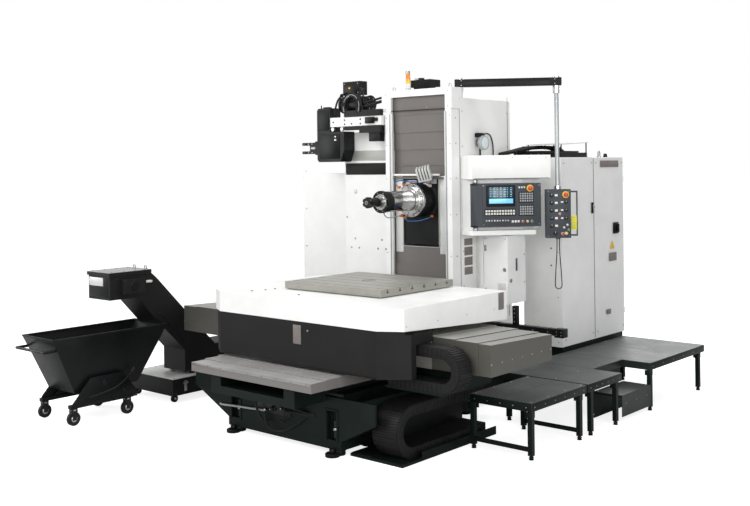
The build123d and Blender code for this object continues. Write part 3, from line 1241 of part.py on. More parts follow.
NODES = {
    "bed": bed,
    "levelling_feet": levelling_feet,
    "bed_cover_ends": bed_cover_ends,
    "bed_cover_outer": lambda: bed_cover(1),
    "bed_cover_inner": lambda: bed_cover(2),
    "saddle": saddle,
    "saddle_bed_covers": saddle_bed_covers,
    "saddle_cover_ends": saddle_cover_ends,
    "saddle_cable_chain": saddle_cable_chain,
    "x_cover_outer": lambda: x_cover(1),
    "x_cover_inner": lambda: x_cover(2),
    "table_slide": table_slide,
    "table_guard": table_guard,
    "table_skirt": table_skirt,
    "rotary_table": rotary_table,
    "column": column,
    "column_casing": column_casing,
    "column_cap": column_cap,
    "column_apron": column_apron,
    "upper_shutter": upper_shutter,
    "lower_shutter": lower_shutter,
    "head": head,
    "head_sheet": head_sheet,
    "head_flange": head_flange,
    "quill": quill,
    "spindle": spindle,
    "cutter": cutter,
    "work_lamp": work_lamp,
    "changer_body": changer_body,
    "tool_magazine": tool_magazine,
    "changer_beam": changer_beam,
    "beam_rails": lambda: group(beam_rails(), changer_drive()),
    "tool_carriage": tool_carriage,
    "column_top_drive": column_top_drive,
    "beacon": beacon,
    "side_lamp": side_lamp,
    "pendant_arm": pendant_arm,
    "pendant": pendant,
    "pendant_cord": pendant_cord,
    "panel_bracket": panel_bracket,
    "operator_panel": operator_panel,
    "service_box": service_box,
    "service_door": service_door,
    "duct_beam": duct_beam,
    "cabinet": cabinet,
    "cabinet_stand": cabinet_stand,
    "cabinet_door_front": lambda: cabinet_door(0),
    "cabinet_door_rear": lambda: cabinet_door(1),
    "cabinet_roof_unit": cabinet_roof_unit,
    "front_deck": front_deck,
    "rear_deck": rear_deck,
    "platform_legs": platform_legs,
    "step": step,
    "bed_cable_chain": bed_cable_chain,
    "cable_tray": cable_tray,
    "chip_conveyor": chip_conveyor,
    "coolant_tank": coolant_tank,
    "cart_hopper": cart_hopper,
    "cart_frame": cart_frame,
    "cart_casters": cart_casters,
}

os.makedirs("parts", exist_ok=True)
for name, make in NODES.items():
    export_step(make(), f"parts/{name}.step")
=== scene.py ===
"""Horizontal boring mill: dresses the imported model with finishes, fittings, lamps and a camera."""

from __future__ import annotations

import logging
import math
from dataclasses import dataclass
from enum import Enum
from itertools import product

import bpy
from mathutils import Matrix, Vector


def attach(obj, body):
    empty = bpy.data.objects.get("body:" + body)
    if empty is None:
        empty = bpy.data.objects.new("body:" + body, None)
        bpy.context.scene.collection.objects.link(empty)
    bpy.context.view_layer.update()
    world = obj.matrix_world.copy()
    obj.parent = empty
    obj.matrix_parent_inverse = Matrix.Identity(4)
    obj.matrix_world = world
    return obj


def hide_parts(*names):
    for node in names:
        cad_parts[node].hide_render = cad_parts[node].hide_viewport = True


LOG = logging.getLogger("boring_mill")
Point = tuple[float, float, float]
Profile = list[tuple[float, float]]
Part = bpy.types.Object
Tree = bpy.types.NodeTree
Socket = bpy.types.NodeSocket
RIGHT: Point = (1, 0, 0)
LEFT: Point = (-1, 0, 0)
BACK: Point = (0, 1, 0)
FRONT: Point = (0, -1, 0)
UP: Point = (0, 0, 1)
EDGE_ANGLE = math.radians(35)
SMOOTH_ANGLE = math.radians(40)
MERGE_DISTANCE = 0.00002
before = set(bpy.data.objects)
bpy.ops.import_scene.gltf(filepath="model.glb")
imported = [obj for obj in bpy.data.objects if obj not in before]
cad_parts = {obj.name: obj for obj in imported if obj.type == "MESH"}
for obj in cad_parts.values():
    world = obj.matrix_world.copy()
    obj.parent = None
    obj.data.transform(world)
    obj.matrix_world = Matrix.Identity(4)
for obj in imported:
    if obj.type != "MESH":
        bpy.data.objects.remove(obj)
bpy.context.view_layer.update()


class Pattern(Enum):
    """How a finish varies over its surface."""

    ENAMEL = "enamel"
    BRUSHED = "brushed"
    GROUND = "ground"
    CAST = "cast"
    MOULDED = "moulded"
    TREAD = "tread"
    LIT = "lit"


@dataclass(frozen=True)
class Finish:
    """One finish: its name, colours in sRGB hex, shader values and surface pattern."""

    name: str
    colour: str
    shade: str
    pattern: Pattern = Pattern.ENAMEL
    roughness: float = 0.4
    metallic: float = 0.0
    grain_mm: float = 6.0
    relief_mm: float = 0.05
    coat: float = 0.0
    upright: str = ""
    specular: float = 0.5


def linear(code: str) -> tuple[float, float, float, float]:
    """Turn an sRGB hex colour into linear values.

    Args:
        code: six hex digits, with or without a leading hash.

    Returns:
        Red, green, blue and an alpha of one.
    """
    code = code.lstrip("#")
    parts = [int(code[i:i + 2], 16) / 255 for i in (0, 2, 4)]
    red, green, blue = (v / 12.92 if v <= 0.04045 else ((v + 0.055) / 1.055) ** 2.4 for v in parts)
    return red, green, blue, 1.0


# Polyester powder coat, sprayed and baked: a satin white with hardly any cream in it
WHITE = Finish("powder_coat_white", "#EAEAE8", "#E3E3E1", roughness=0.38, grain_mm=2.5, relief_mm=0.008)
# Two-part machine enamel over filled castings: very dark green with a soft sheen
BED_ENAMEL = Finish("machine_enamel_green_black", "#111C18", "#0C1411", roughness=0.42, grain_mm=9, relief_mm=0.12,
                    specular=0.15)
# Textured powder coat on folded sheet: a flat charcoal whose fine orange peel softens every highlight
CHARCOAL = Finish("powder_coat_charcoal", "#1B191B", "#151415", roughness=0.5, grain_mm=2, relief_mm=0.05,
                  specular=0.2)
# Textured powder coat on panels and pendants: a cool slate grey with no shine
PANEL_GREY = Finish("powder_coat_slate", "#3F4349", "#373B40", roughness=0.5, grain_mm=2, relief_mm=0.05,
                    specular=0.3)
# Brushed and sprayed enamel on small castings, carts and motors: black with a satin highlight
BLACK = Finish("satin_black_enamel", "#131415", "#0C0D0E", roughness=0.36, grain_mm=4, relief_mm=0.05,
               specular=0.2)
# Cold rolled way cover sheet, its brushed grain drawn coarser than real so that it shows: its upright faces are
# painted a darker colour, painted shade
COVER = Finish("brushed_cover_steel", "#B6B4B2", "#A4A2A0", Pattern.BRUSHED, 0.42, 0.35, 1.2, 0.02, upright="#7A7674")
# The same sheet on the cross slide in a darker copy, its upright faces painted darker and browner: painted shade
CROSS_COVER = Finish("brushed_cover_steel_shaded_sides", "#999894", "#8A8986", Pattern.BRUSHED, 0.44, 0.3, 1.2, 0.02,
                     upright="#54534D")
# Hot dip galvanised sheet of thin trays and frames: pale, dull and faintly streaked
APRON = Finish("galvanised_sheet", "#B4B3AE", "#A6A5A0", Pattern.BRUSHED, 0.48, 0.3, 2.0, 0.02)
# Rolled shutter sheet and its apron: a warm brown grey, duller than the way covers
SHUTTER = Finish("rolled_shutter_steel", "#726D6A", "#676360", Pattern.BRUSHED, 0.46, 0.45, 1.6, 0.02)
# Cast iron table, ground and scraped: grey with a green cast and a faint mottle
TABLE = Finish("ground_cast_iron", "#A5A39B", "#8C8B84", Pattern.GROUND, 0.4, 0.5, 5.0, 0.03)
# Hard chromed and ground steel of the quill and flange: a bright mirror with dark reflections
CHROME = Finish("ground_chromed_steel", "#D6D6D4", "#C4C4C3", Pattern.GROUND, 0.18, 1.0, 1.0, 0.01)
# Turned free-cutting steel of bolts and bushes: small bright glints
STEEL = Finish("turned_steel", "#B4B5B4", "#9C9D9C", Pattern.GROUND, 0.3, 0.95, 1.0, 0.02)
# Heat blackened tool steel of the cutter, valves and screws: near black with a metal sheen
TOOL_STEEL = Finish("blackened_tool_steel", "#3A3A3B", "#242425", Pattern.GROUND, 0.33, 0.7, 2.0, 0.03)
# Cast aluminium of lamp and motor housings: light grey with a sandy grain
CAST_ALUMINIUM = Finish("cast_aluminium", "#B9BBBC", "#A2A4A6", Pattern.CAST, 0.42, 0.7, 2.0, 0.06)
# Moulded glass-filled nylon of the cable chain links: a dry matt black
NYLON = Finish("filled_nylon_black", "#1A1A1B", "#121213", Pattern.MOULDED, 0.48, 0.0, 3.0, 0.04, specular=0.22)
# Moulded ABS of the grey keys, rails and cover strips: plain mid grey
KEY_GREY = Finish("abs_key_grey", "#9B9D9E", "#8C8E90", Pattern.MOULDED, 0.42, 0.0, 1.0, 0.02)
# The same ABS in ivory: pale keys, pointers and lamp lenses
KEY_LIGHT = Finish("abs_key_ivory", "#D9D8D0", "#CBC9C0", Pattern.MOULDED, 0.42, 0.0, 1.0, 0.02)
# Laminated card on the pendant: a flat lemon yellow
SHEET_YELLOW = Finish("card_yellow", "#E6DF1C", "#D9D118", Pattern.MOULDED, 0.5, 0.0, 1.0, 0.0)
# Moulded ABS of stop buttons and lamp caps, in signal colours with a soft gloss
RED = Finish("abs_signal_red", "#C5221C", "#AE1B17", Pattern.MOULDED, 0.3, 0.0, 1.0, 0.01)
YELLOW = Finish("abs_signal_yellow", "#E7BE1E", "#D8AE18", Pattern.MOULDED, 0.34, 0.0, 1.0, 0.01)
GREEN = Finish("abs_signal_green", "#1F8A46", "#187539", Pattern.MOULDED, 0.34, 0.0, 1.0, 0.01)
# Moulded acetal of the push-in hose fittings: strong orange
ORANGE = Finish("orange_fitting_plastic", "#E2701F", "#CC6016", Pattern.MOULDED, 0.36, 0.0, 1.0, 0.01)
# Extruded polyurethane air hose: smooth mid blue
BLUE_HOSE = Finish("polyurethane_hose_blue", "#2E5F99", "#274F80", Pattern.MOULDED, 0.3, 0.0, 2.0, 0.01)
# Moulded nitrile rubber of tyres, wipers and cable sheaths: charcoal black with hardly any highlight
RUBBER = Finish("nitrile_rubber", "#1E1E1E", "#151515", Pattern.MOULDED, 0.62, 0.0, 2.5, 0.05, specular=0.25)
# Rolled chequer plate painted dark green, its lugs at 34 mm worn lighter, with plain folded edges
TREAD = Finish("painted_chequer_plate", "#4C504F", "#262B2A", Pattern.TREAD, 0.46, 0.15, 34.0, 1.2,
               upright="#161F1C")
# Moulded polycarbonate lens of the beacon: glossy amber
AMBER = Finish("amber_lens", "#E88A14", "#DB7A0C", Pattern.MOULDED, 0.18, 0.0, 3.0, 0.01, coat=0.4)
# Lit rows and fields of the display behind its glass: blue black, then green, each glowing a little
SCREEN = Finish("display_dark", "#12324A", "#0E2435", Pattern.LIT, 0.12)
SCREEN_GREEN = Finish("display_green", "#58B9A0", "#479C88", Pattern.LIT, 0.2)
# Pressed and brushed aluminium label plates, left bare: near white with a faint grain
PLATE = Finish("blank_label_plate", "#D8D9D6", "#CBCCC9", Pattern.BRUSHED, 0.4, 0.3, 1.0, 0.01)
# Printed vinyl signs, left bare: a plain warm grey
SIGN = Finish("blank_sign_plate", "#7C7572", "#6E6764", Pattern.MOULDED, 0.45, 0.0, 1.0, 0.01)
# Backlit field of the display: glowing light blue
DISPLAY = Finish("display_glow", "#7FC3E2", "#67AED0", Pattern.LIT, 0.2)


class MaterialShop:
    """Makes and keeps one node material for each finish."""

    cloud_per_metre: float = 3.1
    brush_stretch: float = 0.02
    duller: float = 0.08
    glossier: float = 0.06
    glow: float = 0.55
    bump: float = 0.5

    def __init__(self) -> None:
        """Start with no materials made."""
        self.made: dict[str, bpy.types.Material] = {}

    def node(self, tree: Tree, kind: str, values: dict | None = None, links: dict | None = None,
             stops: dict[float, str] | None = None, **settings: object) -> bpy.types.Node:
        """Add a node with its settings, socket values and links.

        Args:
            tree: the material's node tree.
            kind: the node's bl_idname after ShaderNode.
            values: socket defaults by input name or index.
            links: source sockets by input name or index.
            stops: hex colours by their place on a ramp.
            settings: attributes of the node itself.

        Returns:
            The new node.
        """
        made = tree.nodes.new("ShaderNode" + kind)
        for key, value in settings.items():
            setattr(made, key, value)
        for key, value in (values or {}).items():
            made.inputs[key].default_value = value
        for key, source in (links or {}).items():
            tree.links.new(source, made.inputs[key])
        for index, (position, colour) in enumerate((stops or {}).items()):
            stop = made.color_ramp.elements[index]
            stop.position, stop.color = position, linear(colour)
        return made

    def get(self, finish: Finish) -> bpy.types.Material:
        """Return the material of a finish, making it the first time.

        Args:
            finish: the finish to make.

        Returns:
            The finished material.
        """
        if finish.name in self.made:
            return self.made[finish.name]
        material = bpy.data.materials.new(finish.name)
        material.use_nodes = True
        tree = material.node_tree
        tree.nodes.clear()
        output = self.node(tree, "OutputMaterial")
        shader = self.node(tree, "BsdfPrincipled", values={
            "Metallic": finish.metallic, "Coat Weight": finish.coat, "Coat Roughness": 0.08,
            "Specular IOR Level": finish.specular})
        tree.links.new(shader.outputs["BSDF"], output.inputs["Surface"])
        place = self.node(tree, "TexCoord").outputs["Object"]
        stretch = (1.0, 1.0, self.brush_stretch if finish.pattern is Pattern.BRUSHED else 1.0)
        mapped = self.node(tree, "Mapping", values={"Scale": stretch}, links={"Vector": place})
        grain = self.node(tree, "TexNoise", links={"Vector": mapped.outputs["Vector"]}, values={
            "Scale": 1000 / finish.grain_mm, "Detail": 3.0, "Roughness": 0.55})
        cloud = self.node(tree, "TexNoise", links={"Vector": place}, values={
            "Scale": self.cloud_per_metre, "Detail": 5.0, "Roughness": 0.6})
        tone = self.node(tree, "ValToRGB", links={"Fac": cloud.outputs["Fac"]},
                         stops={0.35: finish.shade, 0.68: finish.colour})
        height = grain.outputs["Fac"]
        colour = tone.outputs["Color"]
        if finish.pattern in (Pattern.BRUSHED, Pattern.GROUND):
            streak = self.node(tree, "ValToRGB", links={"Fac": height},
                               stops={0.3: finish.shade, 0.75: finish.colour})
            colour = self.node(tree, "Mix", data_type="RGBA", values={0: 0.5},
                               links={6: colour, 7: streak.outputs["Color"]}).outputs[2]
        if finish.pattern is Pattern.TREAD:
            height, colour = self.tread(tree, place, finish)
        # Painted shade: upright faces of the way covers take a darker colour and lose their bump; on chequer plate
        # the same mask gives the plain paint of the folded edges
        if finish.upright:
            normal = self.node(tree, "TexCoord").outputs["Normal"]
            up = self.node(tree, "SeparateXYZ", links={0: normal}).outputs["Z"]
            lying = self.node(tree, "ValToRGB", links={"Fac": up},
                              stops={0.35: "000000", 0.7: "FFFFFF"}).outputs["Color"]
            colour = self.node(tree, "Mix", data_type="RGBA", values={6: linear(finish.upright)},
                               links={0: lying, 7: colour}).outputs[2]
            height = self.node(tree, "Math", operation="MULTIPLY",
                               links={0: height, 1: lying}).outputs["Value"]
        if finish.pattern is Pattern.LIT:
            shader.inputs["Emission Strength"].default_value = self.glow
            tree.links.new(colour, shader.inputs["Emission Color"])
        tree.links.new(colour, shader.inputs["Base Color"])
        rough = self.node(tree, "MapRange", links={"Value": cloud.outputs["Fac"]}, values={
            "From Min": 0.3, "From Max": 0.7, "To Min": finish.roughness - self.glossier,
            "To Max": finish.roughness + self.duller})
        tree.links.new(rough.outputs["Result"], shader.inputs["Roughness"])
        if finish.relief_mm > 0:
            bump = self.node(tree, "Bump", links={"Height": height},
                             values={"Strength": self.bump, "Distance": finish.relief_mm / 1000})
            tree.links.new(bump.outputs["Normal"], shader.inputs["Normal"])
        self.made[finish.name] = material
        return material

    def tread(self, tree: Tree, place: Socket,
              finish: Finish) -> tuple[Socket, Socket]:
        """Raised lugs of chequer plate, in rows that cross at their real pitch.

        Args:
            tree: the material's node tree.
            place: the coordinate socket.
            finish: the finish, whose grain is the pitch of the lugs.

        Returns:
            The height and colour sockets.
        """
        turned = self.node(tree, "Mapping", links={"Vector": place},
                           values={"Rotation": (0, 0, math.radians(45)), "Scale": (1.0, 1.0, 0.0)})
        lugs = self.node(tree, "TexVoronoi", links={"Vector": turned.outputs["Vector"]},
                         values={"Scale": 1000 / finish.grain_mm, "Randomness": 0.0})
        lug = 0.22
        worn = self.node(tree, "ValToRGB", links={"Fac": lugs.outputs["Distance"]},
                         stops={lug: finish.colour, 0.42: finish.shade})
        raised = self.node(tree, "MapRange", links={"Value": lugs.outputs["Distance"]},
                           values={"From Min": lug, "From Max": 0.40, "To Min": 1.0, "To Max": 0.0})
        return raised.outputs["Result"], worn.outputs["Color"]


SHOP = MaterialShop()


class Bench:
    """Models parts by primitive, edit-mode operator and modifier, as by hand."""

    @staticmethod
    def clear() -> None:
        """Leave edit mode and deselect everything."""
        if bpy.context.object is not None and bpy.context.object.mode != "OBJECT":
            bpy.ops.object.mode_set(mode="OBJECT")
        for item in list(bpy.context.selected_objects):
            item.select_set(False)

    @staticmethod
    def activate(*parts: Part) -> None:
        """Select only some parts.

        Args:
            parts: the parts; the first becomes the active one.
        """
        Bench.clear()
        for part in parts:
            part.select_set(True)
        bpy.context.view_layer.objects.active = parts[0]

    @staticmethod
    def fresh(name: str, data: bpy.types.ID) -> Part:
        """Put new mesh or curve data in the scene as the active part.

        Args:
            name: the part's name.
            data: its mesh or curve.

        Returns:
            The part.
        """
        part = bpy.data.objects.new(name, data)
        bpy.context.collection.objects.link(part)
        Bench.activate(part)
        return part

    @staticmethod
    def drawn(name: str, points: list, edges: list, faces: list) -> Part:
        """Start a part from its corners and leave it in edit mode, all of it selected.

        Args:
            name: the part's name.
            points: its corners.
            edges: pairs of corners.
            faces: rings of corners.

        Returns:
            The part.
        """
        mesh = bpy.data.meshes.new(name)
        mesh.from_pydata(points, edges, faces)
        part = Bench.fresh(name, mesh)
        bpy.ops.object.mode_set(mode="EDIT")
        bpy.ops.mesh.select_all(action="SELECT")
        return part

    @staticmethod
    def face_outwards() -> None:
        """Turn every face outwards and leave edit mode."""
        bpy.ops.mesh.select_all(action="SELECT")
        bpy.ops.mesh.normals_make_consistent(inside=False)
        bpy.ops.object.mode_set(mode="OBJECT")

    @staticmethod
    def join(parts: list[Part]) -> Part:
        """Join parts into the first one.

        Args:
            parts: the parts.

        Returns:
            The joined part.
        """
        Bench.activate(*parts)
        if len(parts) > 1:
            bpy.ops.object.join()
        return bpy.context.view_layer.objects.active

    @staticmethod
    def settle(part: Part) -> Part:
        """Apply a part's place, turn and size to its mesh.

        Args:
            part: the part.

        Returns:
            The part.
        """
        Bench.activate(part)
        bpy.ops.object.transform_apply(location=True, rotation=True, scale=True)
        return part

    @staticmethod
    def round_edges(part: Part, width: float, segments: int = 2) -> Part:
        """Round the sharp edges of a part with a bevel that is applied.

        Args:
            part: the part to round.
            width: width of the round in metres.
            segments: faces across each round.

        Returns:
            The part.
        """
        Bench.activate(part)
        if width > 0:
            modifier = part.modifiers.new("round", "BEVEL")
            modifier.width, modifier.segments = width, segments
            modifier.limit_method, modifier.angle_limit = "ANGLE", EDGE_ANGLE
            bpy.ops.object.modifier_apply(modifier=modifier.name)
        bpy.ops.object.shade_smooth_by_angle(angle=SMOOTH_ANGLE)
        return part

    @staticmethod
    def block(low: Point, high: Point, width: float = 0.002) -> Part:
        """Rounded block between two corners.

        Args:
            low: lowest corner.
            high: highest corner.
            width: width of the rounded edges.

        Returns:
            The block.
        """
        Bench.clear()
        middle = [(a + b) / 2 for a, b in zip(low, high)]
        bpy.ops.mesh.primitive_cube_add(size=1, location=middle, scale=[b - a for a, b in zip(low, high)])
        return Bench.round_edges(Bench.settle(bpy.context.object), width)

    @staticmethod
    def rod(start: Point, end: Point, radius: float, sides: int = 24, width: float = 0.001,
            tip: float | None = None) -> Part:
        """Round bar, or a cone where tip is given, from start to end.

        Args:
            start: centre of the first end.
            end: centre of the last end.
            radius: radius at the start.
            sides: faces round the bar.
            width: width of the rounded rims.
            tip: radius at the end.

        Returns:
            The bar.
        """
        Bench.clear()
        a, b = Vector(start), Vector(end)
        turn = (b - a).to_track_quat("Z", "Y").to_euler()
        bpy.ops.mesh.primitive_cone_add(vertices=sides, radius1=radius, radius2=radius if tip is None else tip,
                                        depth=(b - a).length, location=(a + b) / 2, rotation=turn)
        return Bench.round_edges(Bench.settle(bpy.context.object), width, 1)

    @staticmethod
    def turned(profile: Profile, start: Point, towards: Point, sides: int = 40,
               width: float = 0.0) -> Part:
        """Turned part: a profile of (radius, distance) pairs spun about its axis.

        Args:
            profile: radius and distance along the axis of each corner.
            start: where the axis starts.
            towards: direction of the axis.
            sides: steps of the spin.
            width: width of the rounded edges.

        Returns:
            The turned part.
        """
        edges = [(i, i + 1) for i in range(len(profile) - 1)]
        part = Bench.drawn("turned", [(r, 0, d) for r, d in profile], edges, [])
        bpy.ops.mesh.spin(steps=sides, angle=2 * math.pi, center=(0, 0, 0), axis=UP)
        bpy.ops.mesh.select_all(action="SELECT")
        bpy.ops.mesh.remove_doubles(threshold=MERGE_DISTANCE)
        Bench.face_outwards()
        part.location = start
        part.rotation_euler = Vector(towards).to_track_quat("Z", "Y").to_euler()
        return Bench.round_edges(Bench.settle(part), width, 2)

    @staticmethod
    def prism(points: Profile, axis: str, low: float, high: float,
              width: float = 0.002) -> Part:
        """Outline extruded along an axis.

        Args:
            points: outline in the two other axes, in X, Y, Z order.
            axis: "X", "Y" or "Z".
            low: where the prism starts.
            high: where it ends.
            width: width of the rounded edges.

        Returns:
            The prism.
        """
        index = "XYZ".index(axis)
        corners = []
        for a, b in points:
            corner = [a, b]
            corner.insert(index, low)
            corners.append(corner)
        move = [0.0, 0.0, 0.0]
        move[index] = high - low
        part = Bench.drawn("prism", corners, [], [list(range(len(corners)))])
        bpy.ops.mesh.extrude_region_move(TRANSFORM_OT_translate={"value": move})
        Bench.face_outwards()
        return Bench.round_edges(part, width)

    @staticmethod
    def curve(name: str, points: list[Point], radius: float, order: int, steps: int) -> Part:
        """Round curve along a smooth line, still a curve.

        Args:
            name: the curve's name.
            points: control points of the line.
            radius: radius of its section.
            order: order of the spline; 2 gives straight runs.
            steps: steps between control points.

        Returns:
            The curve as the active part.
        """
        data = bpy.data.curves.new(name, "CURVE")
        data.dimensions, data.bevel_depth, data.bevel_resolution = "3D", radius, 3
        data.resolution_u, data.use_fill_caps = steps, True
        spline = data.splines.new("NURBS")
        spline.points.add(len(points) - 1)
        for target, point in zip(spline.points, points):
            target.co = (*point, 1.0)
        spline.order_u, spline.use_endpoint_u = order, True
        return Bench.fresh(name, data)

    @staticmethod
    def line(points: list[Point], radius: float, order: int = 3) -> Part:
        """Tube along a smooth line.

        Args:
            points: control points of the line.
            radius: radius of the tube.
            order: order of the spline.

        Returns:
            The tube as a mesh.
        """
        Bench.curve("line", points, radius, order, 6)
        bpy.ops.object.convert(target="MESH")
        return Bench.round_edges(bpy.context.object, 0)

    @staticmethod
    def copies(part: Part, places: list[Matrix]) -> list[Part]:
        """Copy a part modelled at the origin to each place; the first part is moved there too.

        Args:
            part: the part, modelled at the origin.
            places: where each copy goes.

        Returns:
            Every copy, the first included.
        """
        made = []
        source = part.data.copy()
        for index, place in enumerate(places):
            copy = part if index == 0 else part.copy()
            copy.data = source.copy()
            copy.data.transform(place)
            if index:
                bpy.context.collection.objects.link(copy)
            made.append(copy)
        return made


class SubAssembly:
    """Gathers the fittings of one body and joins those of one finish into a piece."""

    plate_edge: float = 0.0006
    rivet_inset: float = 0.012
    rivet_radius: float = 0.0045

    def __init__(self, name: str, body: str, place: Matrix | None = None) -> None:
        """Start an empty sub-assembly.

        Args:
            name: first part of its pieces' names.
            body: the CAD body that it rides on.
            place: where its own frame stands, or None for the shared frame.
        """
        self.name, self.body = name, body
        self.place = place or Matrix.Identity(4)
        self.parts: dict[Finish, list[Part]] = {}

    def add(self, finish: Finish, *parts: Part) -> None:
        """Keep parts under their finish."""
        self.parts.setdefault(finish, []).extend(parts)

    def block(self, finish: Finish, low: Point, high: Point, width: float = 0.002) -> None:
        """Add a rounded block."""
        self.add(finish, Bench.block(low, high, width))

    def rod(self, finish: Finish, start: Point, end: Point, radius: float, sides: int = 20,
            tip: float | None = None) -> None:
        """Add a round bar or cone."""
        self.add(finish, Bench.rod(start, end, radius, sides, min(0.001, radius * 0.15), tip))

    def turn(self, finish: Finish, profile: Profile, start: Point, towards: Point, sides: int) -> None:
        """Add a turned part."""
        self.add(finish, Bench.turned(profile, start, towards, sides))

    def line(self, finish: Finish, points: list[Point], radius: float, order: int = 3) -> None:
        """Add a tube along a smooth line."""
        self.add(finish, Bench.line(points, radius, order))

    def screws(self, finish: Finish, places: list[Point], normal: Point, radius: float = 0.008) -> None:
        """Add socket-head screws with their heads along the normal."""
        self.add(finish, *Bench.copies(screw(radius, radius * 0.5), [facing(p, normal) for p in places]))

    def plate(self, finish: Finish, low: Point, high: Point, normal: Point, pins: Finish | None = None) -> None:
        """Add a thin plate with a rounded outline and, where pins is given, a rivet in each corner.

        Args:
            finish: finish of the plate.
            low: lowest corner.
            high: highest corner.
            normal: the way that it faces.
            pins: finish of the rivets.
        """
        self.block(finish, low, high, self.plate_edge)
        if pins is None:
            return
        facing_axis = max(range(3), key=lambda i: abs(normal[i]))
        face = high[facing_axis] if normal[facing_axis] > 0 else low[facing_axis]
        others = [i for i in range(3) if i != facing_axis]
        places = []
        for a in (low[others[0]] + self.rivet_inset, high[others[0]] - self.rivet_inset):
            for b in (low[others[1]] + self.rivet_inset, high[others[1]] - self.rivet_inset):
                corner = [0.0, 0.0, 0.0]
                corner[facing_axis], corner[others[0]], corner[others[1]] = face, a, b
                places.append(tuple(corner))
        self.screws(pins, places, normal, self.rivet_radius)

    def close(self) -> None:
        """Join the parts by finish, dress them and let them ride on the body."""
        for finish, parts in self.parts.items():
            piece = Bench.join(parts)
            piece.data.transform(self.place)
            piece.name = f"{self.name}.{finish.name}"
            piece.data.materials.clear()
            piece.data.materials.append(SHOP.get(finish))
            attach(piece, self.body)
            LOG.info("%s: %d faces on %s", piece.name, len(piece.data.polygons), self.body)


def screw(radius: float, height: float) -> Part:
    """Socket-head screw at the origin, its head up: a turned head with a hollow."""
    hollow = radius * 0.5
    return Bench.turned([(0, 0), (radius, 0), (radius, height * 0.75), (radius * 0.85, height), (hollow, height),
                         (hollow, height * 0.35), (0, height * 0.35)], (0, 0, 0), UP, 10)


def facing(point: Point, normal: Point) -> Matrix:
    """Place at a point, turned so that the part's Z points along the normal."""
    return Matrix.Translation(point) @ Vector(normal).to_track_quat("Z", "Y").to_matrix().to_4x4()


def standing(x: float, y: float, degrees: float) -> Matrix:
    """Frame that stands at a place in plan, turned about Z."""
    return Matrix.Translation((x, y, 0)) @ Matrix.Rotation(math.radians(degrees), 4, "Z")


def spread(low: float, high: float, count: int) -> list[float]:
    """Values at equal steps from low to high."""
    return [low + (high - low) * i / (count - 1) for i in range(count)]


def grid(*axes: float | tuple[float, ...] | list[float]) -> list[Point]:
    """Places at every mix of the X, Y and Z values, each one value or several, with X changing slowest."""
    return list(product(*(values if isinstance(values, (tuple, list)) else (values,) for values in axes)))


def ring(centre: Point, radius: float, count: int, axis: str = "Y", start: float = 0.0) -> list[Point]:
    """Places on a circle about an axis.

    Args:
        centre: centre of the circle.
        radius: its radius.
        count: number of places.
        axis: "X", "Y" or "Z".
        start: angle of the first place in degrees.

    Returns:
        The places in order.
    """
    made = []
    for index in range(count):
        angle = math.radians(start) + 2 * math.pi * index / count
        pair = [radius * math.cos(angle), radius * math.sin(angle)]
        pair.insert("XYZ".index(axis), 0.0)
        made.append(tuple(c + p for c, p in zip(centre, pair)))
    return made


